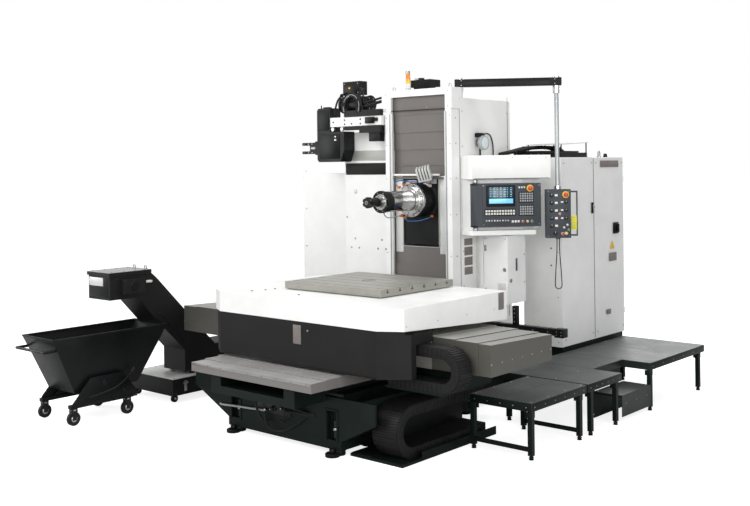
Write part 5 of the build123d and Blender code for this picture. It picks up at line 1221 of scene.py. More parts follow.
@dataclass
class ToolChanger:
    """Screws, plates, drum cables and gripper fittings of the tool changer."""

    front: float = 1.95
    beam_face: float = 1.74

    def housing(self) -> None:
        """Screws, round cap and bare plates of the white housing, and screws of the tool store."""
        part = SubAssembly("changer_fittings", "base")
        y = self.front
        places = ((-1.178, 1.925), (-1.245, 1.809), (-1.113, 1.809), (-0.724, 1.923), (-0.79, 1.81), (-0.657, 1.81),
                  (-0.625, 1.763), (-0.628, 3.115), (-0.622, 2.7), (-1.32, 1.3), (-0.62, 1.3), (-1.32, 2.2))
        part.screws(STEEL, [(x, y, z) for x, z in places], FRONT, 0.013)
        part.rod(PLATE, (-1.168, y - 0.006, 2.537), (-1.168, y, 2.537), 0.03, 28, 0.032)
        part.plate(CHARCOAL, (-1.33, y - 0.003, 2.75), (-0.62, y, 2.90), FRONT, STEEL)
        part.plate(APRON, (-1.33, y - 0.0025, 2.93), (-0.62, y, 3.06), FRONT, STEEL)
        for x in (-2.22, -1.42):
            part.screws(STEEL, grid(x, 2.10, spread(0.75, 2.8, 5)), FRONT, 0.012)
        part.close()

    def drive(self) -> None:
        """Bolts and blocks of the beam, drum bands with cable loops, and the drive box's cover."""
        part = SubAssembly("beam_fittings", "base")
        bolts = ((-1.35, 3.43), (-1.15, 3.452), (-1.15, 3.40), (-1.03, 3.402), (-0.88, 3.454), (-0.88, 3.40))
        part.screws(TOOL_STEEL, [(x, self.beam_face, z) for x, z in bolts], FRONT, 0.011)
        part.block(BLACK, (-0.77, 1.70, 3.395), (-0.64, 1.742, 3.475), 0.003)
        part.block(BLACK, (-0.64, 1.715, 3.42), (-0.585, 1.742, 3.465), 0.003)
        part.screws(TOOL_STEEL, grid(spread(-1.1, -0.57, 4), 1.725, (3.345, 3.53)), FRONT, 0.01)
        axis = (1.85, 3.65)
        for x in (-1.255, -1.12, -0.93, -0.80):
            part.turn(CHARCOAL, [(0.1, -0.012), (0.107, -0.008), (0.107, 0.008), (0.1, 0.012)],
                      (x, *axis), RIGHT, 40)
        part.screws(STEEL, ring((-0.789, *axis), 0.075, 6, "X"), RIGHT, 0.008)
        for index, x in enumerate((-1.2, -1.16, -0.9, -0.86)):
            side = 1 if index % 2 else -1
            part.line(RUBBER, [(x, 1.80, 3.78 + 0.02 * index), (x - 0.01, 1.735, 3.80), (x, 1.715, 3.70),
                               (x + 0.03 * side, 1.72, 3.60), (x + 0.05 * side, 1.74, 3.50)], 0.011)
        part.line(RUBBER, [(-0.93, 1.80, 3.86), (-0.89, 1.78, 3.85), (-0.84, 1.76, 3.76), (-0.83, 1.755, 3.66)],
                  0.011)
        part.line(RUBBER, [(-1.18, 1.80, 3.80), (-1.23, 1.74, 3.76), (-1.30, 1.73, 3.64), (-1.32, 1.74, 3.53)], 0.013)
        for finish, radius, thick in ((RUBBER, 0.115, 0.012), (KEY_GREY, 0.138, 0.007), (RUBBER, 0.158, 0.012)):
            arc = spread(-0.45, math.pi + 0.45, 11)
            part.line(finish, [(-1.02 - radius * math.cos(a), 1.732 - radius * 0.06,
                                3.62 + radius * math.sin(a) * 1.1) for a in arc], thick)
        for z, thick in ((3.60, 0.02), (3.645, 0.014)):
            part.line(RUBBER, [(-0.95, 1.76, z), (-0.80, 1.75, z + 0.01), (-0.64, 1.79, z + 0.055),
                               (-0.50, 1.86, z + 0.09)], thick)
        part.block(BLACK, (-1.205, 1.784, 3.785), (-0.94, 1.79, 3.93), 0.003)
        part.rod(YELLOW, (-1.10, 1.785, 3.86), (-1.10, 1.782, 3.86), 0.014, 20)
        part.screws(STEEL, grid((-1.19, -0.955), 1.784, (3.8, 3.915)), FRONT, 0.006)
        part.block(CHARCOAL, (-0.735, 1.742, 3.18), (-0.57, 1.746, 3.27), 0.002)
        part.close()

    def carriage(self) -> None:
        """Covers, bracket, pin, guide rollers and gripper pads of the tool carriage."""
        part = SubAssembly("carriage_fittings", "base")
        y = self.beam_face
        part.plate(BLACK, (-1.62, y - 0.005, 3.33), (-1.43, y, 3.59), FRONT, TOOL_STEEL)
        part.plate(BLACK, (-1.60, y - 0.005, 2.96), (-1.24, y, 3.28), FRONT, TOOL_STEEL)
        part.block(STEEL, (-1.33, y - 0.009, 3.19), (-1.29, y - 0.004, 3.215), 0.002)
        part.rod(STEEL, (-1.31, y - 0.012, 3.245), (-1.31, y - 0.004, 3.245), 0.012)
        for x in (-1.36, -1.2):
            part.rod(STEEL, (x, y - 0.006, 3.34), (x, y + 0.02, 3.34), 0.026, 24)
        for side in (-1, 1):
            z = 3.105 + side * 0.056
            part.block(TOOL_STEEL, (-1.983, 1.795, z - 0.012), (-1.90, 1.875, z + 0.012), 0.003)
            part.screws(STEEL, [(-1.87, 1.80, z), (-1.80, 1.80, z)], FRONT, 0.008)
        part.rod(STEEL, (-1.80, 1.795, 3.105), (-1.72, 1.795, 3.105), 0.022, 20)
        part.block(BLACK, (-1.54, 1.75, 3.59), (-1.44, 1.81, 3.635), 0.003)
        part.rod(TOOL_STEEL, (-1.585, 1.765, 3.59), (-1.585, 1.765, 3.66), 0.008, 12)
        part.close()

    def build(self) -> None:
        """Dress the whole tool changer."""
        self.housing()
        self.drive()
        self.carriage()


@dataclass
class BedFront:
    """Pipe, valves, hoses and bolts at the bed's front, and its feet."""

    front: float = -0.51
    cover_top: float = 0.806

    def pockets(self) -> None:
        """Levelling bolts, rims and pads in the pockets and under the bed."""
        front = self.front
        part = SubAssembly("bed_fittings", "base")
        for x in (-0.74, 0.74):
            part.turn(BLACK, [(0.071, 0), (0.074, 0.006), (0.074, 0.03), (0.068, 0.036), (0, 0.036)],
                      (x, front - 0.02, 0.0), UP, 36)
            part.rod(BLACK, (x, front - 0.02, 0.034), (x, front - 0.02, 0.075), 0.034, 6)
        for x in (-0.715, 0.715):
            for low, high in ((x - 0.09, x - 0.065), (x + 0.065, x + 0.09)):
                part.block(BED_ENAMEL, (low, front - 0.008, 0.14), (high, front + 0.004, 0.455), 0.004)
            part.block(BED_ENAMEL, (x - 0.09, front - 0.008, 0.44), (x + 0.09, front + 0.004, 0.465), 0.004)
            part.rod(TOOL_STEEL, (x, front + 0.06, 0.16), (x, front + 0.06, 0.34), 0.022)
            part.rod(STEEL, (x, front + 0.06, 0.24), (x, front + 0.06, 0.262), 0.036, 6)
        part.block(CHARCOAL, (-0.88, front - 0.006, 0.60), (0.88, front + 0.004, 0.625), 0.003)
        part.close()

    def services(self) -> None:
        """Valve plate with its valves, the pale pipe, and hoses that hang and enter an oval port."""
        front = self.front
        part = SubAssembly("bed_services", "base")
        y = front - 0.03
        pipe = ((-0.955, 0.12, 0.285), (-0.985, 0.02, 0.275), (-0.955, -0.03, 0.27), (-0.72, -0.035, 0.288),
                (-0.45, -0.03, 0.30), (-0.22, -0.03, 0.312))
        part.line(KEY_GREY, [(x, front + dy, z) for x, dy, z in pipe], 0.011)
        part.block(TOOL_STEEL, (-0.40, front - 0.012, 0.29), (0.14, front + 0.01, 0.50), 0.004)
        for x, z, size in ((-0.342, 0.455, 0.045), (0.0, 0.42, 0.055), (-0.10, 0.35, 0.03), (0.085, 0.46, 0.028)):
            part.turn(TOOL_STEEL, [(0, 0), (size, 0), (size, 0.02), (size * 0.8, 0.026), (size * 0.8, 0.05),
                                   (size * 0.45, 0.055), (size * 0.45, 0.03), (0, 0.03)], (x, front - 0.01, z),
                      FRONT, 32)
            part.screws(STEEL, ring((x, front - 0.036, z), size * 0.62, 6, "Y"), FRONT, size * 0.1)
            part.rod(STEEL, (x, y - 0.02, z), (x, y - 0.05, z), size * 0.24, 6)
        loops = (
            (0.010, [(-0.22, y, 0.33), (-0.21, y - 0.02, 0.23), (-0.13, y - 0.03, 0.14), (0.0, y - 0.02, 0.125),
                     (0.15, y, 0.18), (0.30, y, 0.27), (0.38, front, 0.345)]),
            (0.013, [(0.02, y, 0.37), (0.12, y - 0.02, 0.35), (0.25, y - 0.01, 0.362), (0.36, y, 0.355),
                     (0.43, front + 0.01, 0.35)]),
            (0.013, [(0.06, y, 0.43), (0.15, y - 0.02, 0.405), (0.28, y - 0.01, 0.395), (0.39, y, 0.372),
                     (0.46, front + 0.01, 0.362)]),
            (0.012, [(-0.34, y - 0.02, 0.43), (-0.33, y - 0.03, 0.33), (-0.27, y - 0.02, 0.23), (-0.2, y, 0.19),
                     (-0.12, front + 0.01, 0.21)]),
            (0.008, [(0.085, y - 0.02, 0.45), (0.11, y - 0.03, 0.36), (0.08, y - 0.02, 0.26), (0.02, y, 0.22),
                     (-0.04, front + 0.01, 0.23)]),
        )
        for thick, points in loops:
            part.line(RUBBER, points, thick)
            part.rod(STEEL, points[0], tuple(a + 0.2 * (b - a) for a, b in zip(points[0], points[1])),
                     thick + 0.004, 6)
        port = [(0.425 + 0.03 * math.cos(a) + (0.045 if math.cos(a) > 0 else -0.045), 0.357 + 0.03 * math.sin(a))
                for a in spread(0, 2 * math.pi * 23 / 24, 24)]
        part.add(BLACK, Bench.prism(port, "Y", front - 0.006, front + 0.002, 0.001))
        part.close()

    def covers(self) -> None:
        """Wiper of the bed covers and screws of the saddle's covers."""
        part = SubAssembly("bed_cover_fittings", "base")
        front, half, top = -0.97, 0.882, self.cover_top
        part.block(STEEL, (-half, front - 0.004, top - 0.022), (half, front, top - 0.002), 0.001)
        part.screws(TOOL_STEEL, grid(spread(-half + 0.05, half - 0.05, 9), front - 0.004, top - 0.012),
                    FRONT, 0.005)
        part.close()
        ends = SubAssembly("saddle_end_fittings", "saddle")
        for side in (-1, 1):
            ends.screws(STEEL, grid(side * 2.27, spread(0.02, 1.06, 7), 1.0), (side, 0, 0), 0.008)
        ends.close()

    def build(self) -> None:
        """Dress the bed and its covers."""
        self.pockets()
        self.services()
        self.covers()


@dataclass
class ServiceDoor:
    """Hinges, slot handle, lock, screws and bare plates of the service door and its surroundings."""

    right: float = 1.0
    front: float = 2.21

    def build(self) -> None:
        """Dress the door, the duct's end and the panel's bracket."""
        front = self.front
        part = SubAssembly("service_door_fittings", "service_door")
        x = self.right
        part.block(BLACK, (x - 0.008, 2.382, 1.602), (x - 0.0055, 2.413, 1.738), 0.0)
        for y0, z0, y1, z1 in ((2.374, 1.594, 2.38, 1.746), (2.415, 1.594, 2.421, 1.746),
                               (2.374, 1.74, 2.421, 1.746), (2.374, 1.594, 2.421, 1.6)):
            part.block(KEY_GREY, (x, y0, z0), (x + 0.003, y1, z1), 0.001)
        part.screws(STEEL, [(x, 2.562, 1.781), (x, 2.562, 1.45)], RIGHT, 0.009)
        part.turn(STEEL, [(0, 0), (0.026, 0), (0.026, 0.006), (0.02, 0.01), (0, 0.01)], (x, 2.27, 1.49), RIGHT, 28)
        part.block(BLACK, (x + 0.0095, 2.267, 1.478), (x + 0.0105, 2.273, 1.502), 0.0)
        part.plate(PLATE, (0.86, front - 0.0018, 1.30), (0.97, front, 1.46), FRONT, STEEL)
        part.screws(STEEL, grid((0.69, 0.97), front, (1.26, 1.98)), FRONT, 0.007)
        part.turn(STEEL, [(0, 0), (0.022, 0), (0.022, 0.006), (0, 0.008)], (0.955, front, 1.62), FRONT, 24)
        for z in (1.35, 1.86):
            part.block(STEEL, (0.662, front - 0.004, z - 0.03), (0.70, front, z + 0.04), 0.001)
        part.close()
        side = SubAssembly("service_surroundings", "base")
        side.block(BLACK, (1.015, 2.265, 0.973), (1.075, 2.33, 1.195), 0.003)
        for z in (1.01, 1.06, 1.11, 1.16):
            side.rod(STEEL, (1.045, 2.2645, z), (1.045, 2.266, z), 0.009, 16)
        side.block(BLACK, (1.60, 2.235, 0.885), (1.715, 2.345, 0.985), 0.004)
        for z in (0.915, 0.95):
            side.screws(STEEL, [(1.63, 2.235, z), (1.69, 2.235, z)], FRONT, 0.007)
        for v in spread(0.62, 1.5, 6):
            side.block(CHARCOAL, (v, 2.257, 0.898), (v + 0.012, 2.343, 0.978), 0.002)
        side.screws(STEEL, grid(spread(0.7, 1.5, 5), 2.26, 0.937), FRONT, 0.007)
        side.close()
        hood = SubAssembly("hood_fittings", "base", standing(0.735, 1.88, math.degrees(math.atan2(0.735, 0.618))))
        hood.block(CHARCOAL, (0.02, -0.0008, 2.694), (0.94, 0.001, 2.70), 0.0)
        hood.screws(STEEL, grid(spread(0.08, 0.9, 5), 0.0, 2.94), FRONT, 0.007)
        hood.close()


@dataclass
class Cabinet:
    """Latch, switch, eyebolts, bare signs, tray and conduits of the electrical cabinet."""

    face: float = 1.209
    top: float = 2.94

    def doors(self) -> None:
        """Gaskets, screws, latch, rotary switch and bare signs of the two doors."""
        x = self.face
        for name, body, low, high in (("front_door_fittings", "cabinet_door_front", 3.104, 3.893),
                                      ("rear_door_fittings", "cabinet_door_rear", 3.907, 4.695)):
            part = SubAssembly(name, body)
            part.block(RUBBER, (1.176, low, 0.61), (1.181, low + 0.012, 2.93), 0.001)
            part.screws(STEEL, grid(x, (low + 0.05, high - 0.05), (0.688, 2.868)), RIGHT, 0.009)
            part.close()
        front = SubAssembly("cabinet_latch", "cabinet_door_front")
        front.block(BLACK, (x, 3.825, 2.22), (x + 0.012, 3.87, 2.36), 0.004)
        front.block(STEEL, (x + 0.012, 3.838, 2.235), (x + 0.028, 3.857, 2.33), 0.005)
        front.rod(STEEL, (x + 0.010, 3.8475, 2.30), (x + 0.034, 3.8475, 2.30), 0.011)
        front.close()
        rear = SubAssembly("cabinet_switch", "cabinet_door_rear")
        rear.block(BLACK, (x, 4.395, 1.925), (x + 0.004, 4.545, 2.075), 0.004)
        rear.turn(BLACK, [(0, 0.004), (0.062, 0.004), (0.062, 0.012), (0.05, 0.018), (0, 0.018)], (x, 4.47, 2.0),
                  RIGHT, 36)
        rear.block(BLACK, (x + 0.016, 4.455, 1.945), (x + 0.05, 4.485, 2.055), 0.006)
        for y0, z0, y1, z1 in ((4.07, 2.81, 4.56, 2.895), (4.28, 1.57, 4.48, 1.68), (4.19, 0.88, 4.31, 0.945)):
            rear.plate(SIGN, (x, y0, z0), (x + 0.002, y1, z1), RIGHT)
        rear.add(YELLOW, Bench.prism([(4.31, 1.73), (4.43, 1.73), (4.37, 1.84)], "X", x, x + 0.002, 0.0005))
        rear.close()

    def roof(self) -> None:
        """Thin tilted tray, ribbed conduits, eyebolts and knob on the roof, and the front's screws."""
        top = self.top
        part = SubAssembly("cabinet_roof_fittings", "base")
        for x, y in ((0.70, 4.6), (1.12, 4.2), (1.12, 3.15), (0.70, 4.2)):
            part.rod(STEEL, (x, y, top), (x, y, top + 0.018), 0.026, 20)
            eye = ((-0.014, 0.014), (-0.034, 0.05), (0, 0.09), (0.034, 0.05), (0.014, 0.014))
            part.line(STEEL, [(x, y + dy, top + dz) for dy, dz in eye], 0.008)
        part.rod(BLACK, (1.05, 4.5, top), (1.05, 4.5, top + 0.05), 0.03, 24, 0.02)
        for index in range(3):
            shift = 0.055 * index
            points = [(0.56, 2.72, 2.99), (0.57 + shift, 2.95, 3.02), (0.60 + shift, 3.2, 3.065),
                      (0.66 + shift, 3.45, 3.075), (0.80 + shift, 3.62, 3.06), (0.86 + shift, 3.66, 2.945)]
            part.line(RUBBER, points, 0.021)
            for a, b in zip(points[1:-1], points[2:-1]):
                for t in spread(0.0, 0.9, 6):
                    middle = [u + (v - u) * t for u, v in zip(a, b)]
                    ahead = [u + (v - u) * (t + 0.04) for u, v in zip(a, b)]
                    part.rod(BLACK, tuple(middle), tuple(ahead), 0.0245, 12)
        tray = [(3.25, 3.1), (3.93, 3.128), (3.93, 3.134), (3.25, 3.106)]
        part.add(APRON, Bench.prism(tray, "X", 0.60, 1.12, 0.001))
        for x, y in ((0.62, 3.28), (1.10, 3.28), (0.62, 3.90), (1.10, 3.90)):
            part.rod(BLACK, (x, y, 2.94), (x, y, 3.1 + 0.04 * (y - 3.25)), 0.008, 12)
        part.screws(STEEL, grid(spread(0.6, 0.92, 4), 3.04, 2.98), FRONT, 0.007)
        part.close()
        front = SubAssembly("cabinet_front_fittings", "base")
        front.block(RUBBER, (1.172, 3.8965, 0.62), (1.203, 3.9035, 2.92), 0.001)
        front.screws(STEEL, grid((0.67, 1.14), 3.10, spread(0.66, 2.88, 5)), FRONT, 0.009)
        for z in (1.816, 1.604):
            front.rod(KEY_GREY, (1.05, 3.1, z), (1.05, 3.092, z), 0.013, 16)
            front.rod(BLACK, (1.05, 3.0935, z), (1.05, 3.09, z), 0.007, 12)
        front.close()

    def build(self) -> None:
        """Dress the cabinet."""
        self.doors()
        self.roof()


@dataclass
class Platforms:
    """Edge strips, screws, feet and braces of the walking platforms."""

    top: float = 0.55
    right: float = 2.35
    edge: float = 0.085
    legs: tuple[tuple[float, float], ...] = (
        (1.645, 0.595), (2.325, 0.595), (1.645, 1.515), (2.325, 1.515), (2.325, 1.745), (2.325, 2.295),
        (2.325, 3.125), (2.325, 4.455), (1.307, 4.425), (1.307, 1.745), (1.965, 2.425))

    def build(self) -> None:
        """Dress both decks, the step and their legs."""
        top, right = self.top, self.right
        part = SubAssembly("deck_fittings", "base")
        low = top - self.edge
        for a, b in ((0.57, 1.63), (1.66, 2.4), (3.1, 4.6)):
            part.block(BED_ENAMEL, (right - 0.002, a + 0.004, low + 0.004),
                       (right + 0.001, b - 0.004, top - 0.004), 0.001)
            part.screws(STEEL, grid(right - 0.002, spread(a + 0.06, b - 0.06, 6), top - 0.045), RIGHT, 0.007)
        part.block(BED_ENAMEL, (1.624, 0.566, low + 0.004), (2.346, 0.57, top - 0.004), 0.002)
        part.screws(STEEL, grid(spread(1.68, 2.29, 5), 0.566, top - 0.045), FRONT, 0.007)
        part.screws(STEEL, grid((1.66, 2.31), spread(0.62, 1.58, 4), top), UP, 0.01)
        part.screws(STEEL, grid((1.27, 1.93), spread(1.72, 4.5, 7), top), UP, 0.01)
        part.block(RUBBER, (1.98, 0.575, top - 0.0005), (1.983, 1.625, top + 0.0008), 0.0)
        for y in (2.4, 3.1, 3.85):
            part.block(RUBBER, (1.23, y, top - 0.0005), (1.985, y + 0.003, top + 0.0008), 0.0)
        part.screws(STEEL, grid((2.03, 2.31), (2.45, 3.05), 0.3), UP, 0.009)
        part.screws(STEEL, grid(right - 0.003, (2.5, 2.75, 3.0), 0.2), RIGHT, 0.008)
        part.close()
        feet = SubAssembly("deck_feet", "base")
        for x, y in self.legs:
            feet.turn(BLACK, [(0, 0), (0.025, 0), (0.025, 0.006), (0.018, 0.014), (0, 0.014)], (x, y, 0.0), UP, 24)
            feet.rod(BLACK, (x, y, 0.016), (x, y, 0.03), 0.024, 6)
            for side in (-1, 1):
                feet.block(BED_ENAMEL, (x - 0.045, y - 0.0315 * side - 0.003, low - 0.06),
                           (min(x + 0.045, right), y - 0.0315 * side + 0.003, low - 0.001), 0.002)
        feet.close()


@dataclass
class Conveyor:
    """Lid, plates, eyes, screws and drive fittings of the chip conveyor, and the coolant tank."""

    left: float = -2.85
    right: float = -2.42
    lid: float = 1.654
    tank_side: float = -2.29

    def head(self) -> None:
        """Dress the discharge head and its drive."""
        left, right = self.left, self.right
        part = SubAssembly("conveyor_fittings", "base")
        part.block(KEY_GREY, (left - 0.012, -0.952, 1.648), (right + 0.012, -0.363, self.lid), 0.002)
        part.block(BLACK, (left + 0.03, -0.9435, 1.36), (right - 0.03, -0.94, 1.59), 0.002)
        part.plate(PLATE, (-2.833, -0.9465, 1.49), (-2.55, -0.9435, 1.588), FRONT, STEEL)
        sides = (left + 0.02, right - 0.02)
        part.screws(TOOL_STEEL, grid(sides, -0.94, (1.36, 1.48, 1.59)), FRONT, 0.009)
        part.screws(TOOL_STEEL, grid(sides, spread(-0.9, -0.4, 4), self.lid), UP, 0.009)
        for x, y in ((-2.607, -0.463), (-2.40, -0.45)):
            part.rod(STEEL, (x, y, 1.652), (x, y, 1.668), 0.02, 16)
            part.line(STEEL, [(x - 0.012, y, 1.664), (x - 0.026, y, 1.69), (x, y, 1.712), (x + 0.026, y, 1.69),
                              (x + 0.012, y, 1.664)], 0.006)
        part.screws(TOOL_STEEL, grid(-2.35, (-0.78, -0.5), (1.41, 1.54)), RIGHT, 0.009)
        part.turn(BLACK, [(0, 0), (0.06, 0), (0.055, 0.008), (0, 0.008)], (-2.35, -0.64, 1.475), RIGHT, 32)
        part.block(KEY_LIGHT, (-2.42, -0.47, 1.50), (-2.36, -0.38, 1.525), 0.005)
        places = ((-0.85, 1.57), (-0.42, 1.57), (-0.85, 1.37), (-0.25, 1.10), (0.0, 0.84), (0.18, 1.0), (-0.1, 1.3))
        part.screws(TOOL_STEEL, [(right, y, z) for y, z in places], RIGHT, 0.009)
        part.close()
        riser = SubAssembly("conveyor_riser", "base")
        seam = [((-0.27, 1.05), (0.11, 0.66)), ((-0.22, 1.10), (0.16, 0.71))]
        for (y0, z0), (y1, z1) in seam:
            riser.line(BED_ENAMEL, [(right + 0.001, y0, z0), (right + 0.001, y1, z1)], 0.005, 2)
        for t in spread(0.05, 0.95, 8):
            riser.screws(TOOL_STEEL, grid((left + 0.03, left + 0.4), -0.28 + 0.38 * t, 1.546 - 0.391 * t),
                         (0, 0.7, 0.72), 0.009)
        riser.close()

    def tank(self) -> None:
        """Pale lid panels, clip, wheel rims and pipes of the coolant tank."""
        part = SubAssembly("tank_fittings", "base")
        top = 0.29
        for low, high in ((-0.14, 0.28), (0.30, 0.74), (0.76, 1.34)):
            part.block(PLATE, (-3.18, low, top - 0.001), (-2.30, high, top + 0.006), 0.003)
            part.screws(TOOL_STEEL, grid((-3.15, -2.33), (low + 0.04, high - 0.04), top + 0.006), UP, 0.009)
        part.block(STEEL, (-2.296, 0.02, 0.13), (-2.284, 0.06, 0.26), 0.003)
        part.block(STEEL, (self.tank_side, 0.005, 0.22), (-2.276, 0.075, 0.245), 0.003)
        part.screws(TOOL_STEEL, grid(self.tank_side, spread(-0.1, 1.3, 6), (0.12, 0.26)), RIGHT, 0.008)
        part.screws(TOOL_STEEL, grid(spread(-3.15, -2.33, 5), -0.15, (0.12, 0.26)), FRONT, 0.008)
        for x in (-3.11, -2.37):
            for y in (-0.07, 1.27):
                for side in (-1, 1):
                    part.rod(STEEL, (x + side * 0.017, y, 0.045), (x + side * 0.022, y, 0.045), 0.016, 20)
        for z in (0.33, 0.36):
            part.line(STEEL, [(-2.45, 0.6, z - 0.03), (-2.45, 0.6, z), (-2.40, 0.62, z + 0.01), (-2.2, 0.7, z + 0.01),
                              (-1.9, 0.85, z + 0.02), (-1.5, 0.95, z + 0.02), (-1.3, 1.0, z + 0.03)], 0.011)
        part.close()

    def build(self) -> None:
        """Dress the conveyor and the tank."""
        self.head()
        self.tank()


@dataclass
class ChipCart:
    """Rim, pivots, lever, grips and wheel hubs of the chip cart."""

    centre: float = -2.65
    half: float = 0.33
    front: float = -1.74
    back: float = -0.2
    rim: float = 0.985
    handle: float = 0.86

    def hopper(self) -> None:
        """Open tapered hopper folded from sheet, with its tube handle, in place of the plain solid."""
        middle = self.centre
        levels = ((self.rim, self.half, self.front, self.back), (0.795, 0.305, -1.65, -0.31),
                  (0.345, 0.27, -1.44, -0.60))
        corners = [(middle + sx * half, front if sy < 0 else back, z)
                   for z, half, front, back in levels for sx, sy in ((-1, -1), (1, -1), (1, 1), (-1, 1))]
        faces = [(4 * row + i, 4 * row + (i + 1) % 4, 4 * row + 4 + (i + 1) % 4, 4 * row + 4 + i)
                 for row in range(2) for i in range(4)] + [(8, 9, 10, 11)]
        shell = Bench.drawn("hopper", corners, [], faces)
        Bench.face_outwards()
        wall = shell.modifiers.new("wall", "SOLIDIFY")
        wall.thickness, wall.offset = 0.004, -1
        bpy.ops.object.modifier_apply(modifier=wall.name)
        part = SubAssembly("cart_hopper_sheet", "base")
        part.add(BLACK, Bench.round_edges(shell, 0.001))
        x, y, z = self.half - 0.04, self.front - 0.09, self.handle
        half = [(x, self.front + 0.055), (x, y + 0.02), (x, y), (x - 0.02, y)]
        tube = [(-across, along) for across, along in half] + half[::-1]
        part.line(BLACK, [(middle + across, along, z) for across, along in tube], 0.016)
        part.close()
        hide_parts("cart_hopper")

    def build(self) -> None:
        """Dress the hopper, frame and casters."""
        middle = self.centre
        self.hopper()
        part = SubAssembly("cart_fittings", "base")
        low, high = middle - self.half, middle + self.half
        for a, b in (((low, self.front), (high, self.front + 0.018)), ((low, self.back - 0.018), (high, self.back)),
                     ((low, self.front), (low + 0.018, self.back)), ((high - 0.018, self.front), (high, self.back))):
            part.block(CHARCOAL, (*a, self.rim - 0.012), (*b, self.rim + 0.005), 0.003)
        for side in (-1, 1):
            part.rod(RUBBER, (middle + side * 0.12, self.front - 0.09, self.handle),
                     (middle + side * 0.26, self.front - 0.09, self.handle), 0.0158, 20)
        plate = [(-1.53, 0.192), (-0.64, 0.192), (-0.64, 0.25), (-0.83, 0.50), (-1.27, 0.50), (-1.50, 0.25)]
        for side in (-1, 1):
            low, high = sorted((middle + side * 0.318, middle + side * 0.324))
            part.add(BLACK, Bench.prism(plate, "X", low, high, 0.001))
        x = middle + 0.322
        for y, z in ((-1.08, 0.42), (-0.82, 0.31)):
            part.turn(BLACK, [(0, 0), (0.034, 0), (0.034, 0.006), (0.018, 0.012), (0, 0.012)], (x, y, z), RIGHT, 24)
        part.line(BLACK, [(x + 0.004, -1.30, 0.28), (x + 0.006, -1.1, 0.3), (x + 0.006, -0.85, 0.36),
                          (x + 0.004, -0.70, 0.50)], 0.012)
        part.rod(RUBBER, (x + 0.004, -0.715, 0.485), (x + 0.004, -0.69, 0.53), 0.018, 16)
        part.screws(TOOL_STEEL, grid(x, spread(-1.35, -0.7, 5), 0.215), RIGHT, 0.009)
        for cx in (middle - 0.3, middle + 0.3):
            for cy in (-1.48, -0.77):
                for side in (-1, 1):
                    part.turn(STEEL, [(0, 0), (0.038, 0), (0.034, 0.004), (0.012, 0.007), (0, 0.007)],
                              (cx + side * 0.0195, cy, 0.077), (side, 0, 0), 24)
                part.rod(STEEL, (cx, cy, 0.168), (cx, cy, 0.182), 0.036, 24)
        part.close()


@dataclass
class BackSide:
    """Covers, vents, seams and screws that only the back and sides show."""

    back: float = 3.02

    def build(self) -> None:
        """Dress the backs of the column, tool store and cabinet."""
        back = self.back
        part = SubAssembly("back_fittings", "base")
        for x0, x1, z0, z1 in ((-0.45, 0.45, 0.75, 1.95), (-0.45, 0.45, 2.05, 3.60), (-1.30, -0.60, 0.75, 1.9),
                               (-1.30, -0.60, 2.0, 3.2), (-2.22, -1.42, 0.75, 2.7)):
            part.block(WHITE, (x0, back - 0.001, z0), (x1, back + 0.004, z1), 0.003)
            part.screws(STEEL, grid((x0 + 0.04, (x0 + x1) / 2, x1 - 0.04), back + 0.004,
                                    (z0 + 0.04, (z0 + z1) / 2, z1 - 0.04)), BACK, 0.009)
        for z in spread(1.2, 1.5, 10):
            part.block(CHARCOAL, (-0.2, back + 0.004, z), (0.2, back + 0.0065, z + 0.014), 0.001)
        for y0, y1, z0, z1 in ((3.2, 3.85, 0.75, 2.8), (3.95, 4.6, 0.75, 2.8)):
            part.block(WHITE, (0.636, y0, z0), (0.641, y1, z1), 0.003)
            part.screws(STEEL, grid(0.636, (y0 + 0.04, y1 - 0.04), (z0 + 0.04, 1.8, z1 - 0.04)), LEFT, 0.009)
        for z in spread(2.3, 2.6, 10):
            part.block(CHARCOAL, (0.634, 4.05, z), (0.637, 4.5, z + 0.014), 0.001)
        part.block(WHITE, (0.70, 4.699, 0.75), (1.12, 4.704, 2.8), 0.003)
        part.screws(STEEL, grid((0.74, 1.08), 4.704, (0.79, 1.8, 2.76)), BACK, 0.009)
        part.block(CHARCOAL, (-2.2825, 2.2, 0.75), (-2.279, 2.9, 0.754), 0.001)
        for y0, y1 in ((2.18, 2.53), (2.59, 2.94)):
            part.block(WHITE, (-2.285, y0, 0.9), (-2.279, y1, 2.7), 0.003)
            part.screws(STEEL, grid(-2.285, (y0 + 0.03, y1 - 0.03), (0.94, 1.8, 2.66)), LEFT, 0.009)
            part.block(BLACK, (-2.295, (y0 + y1) / 2 - 0.06, 1.72), (-2.285, (y0 + y1) / 2 + 0.06, 1.76), 0.003)
        part.rod(CAST_ALUMINIUM, (-0.31, 2.18, 3.93), (-0.31, 2.18, 3.955), 0.03, 24)
        for x in spread(-0.37, -0.07, 12):
            part.block(BLACK, (x, 2.114, 3.845), (x + 0.01, 2.12, 3.925), 0.001)
            part.block(BLACK, (x, 2.33, 3.845), (x + 0.01, 2.336, 3.925), 0.001)
        part.close()


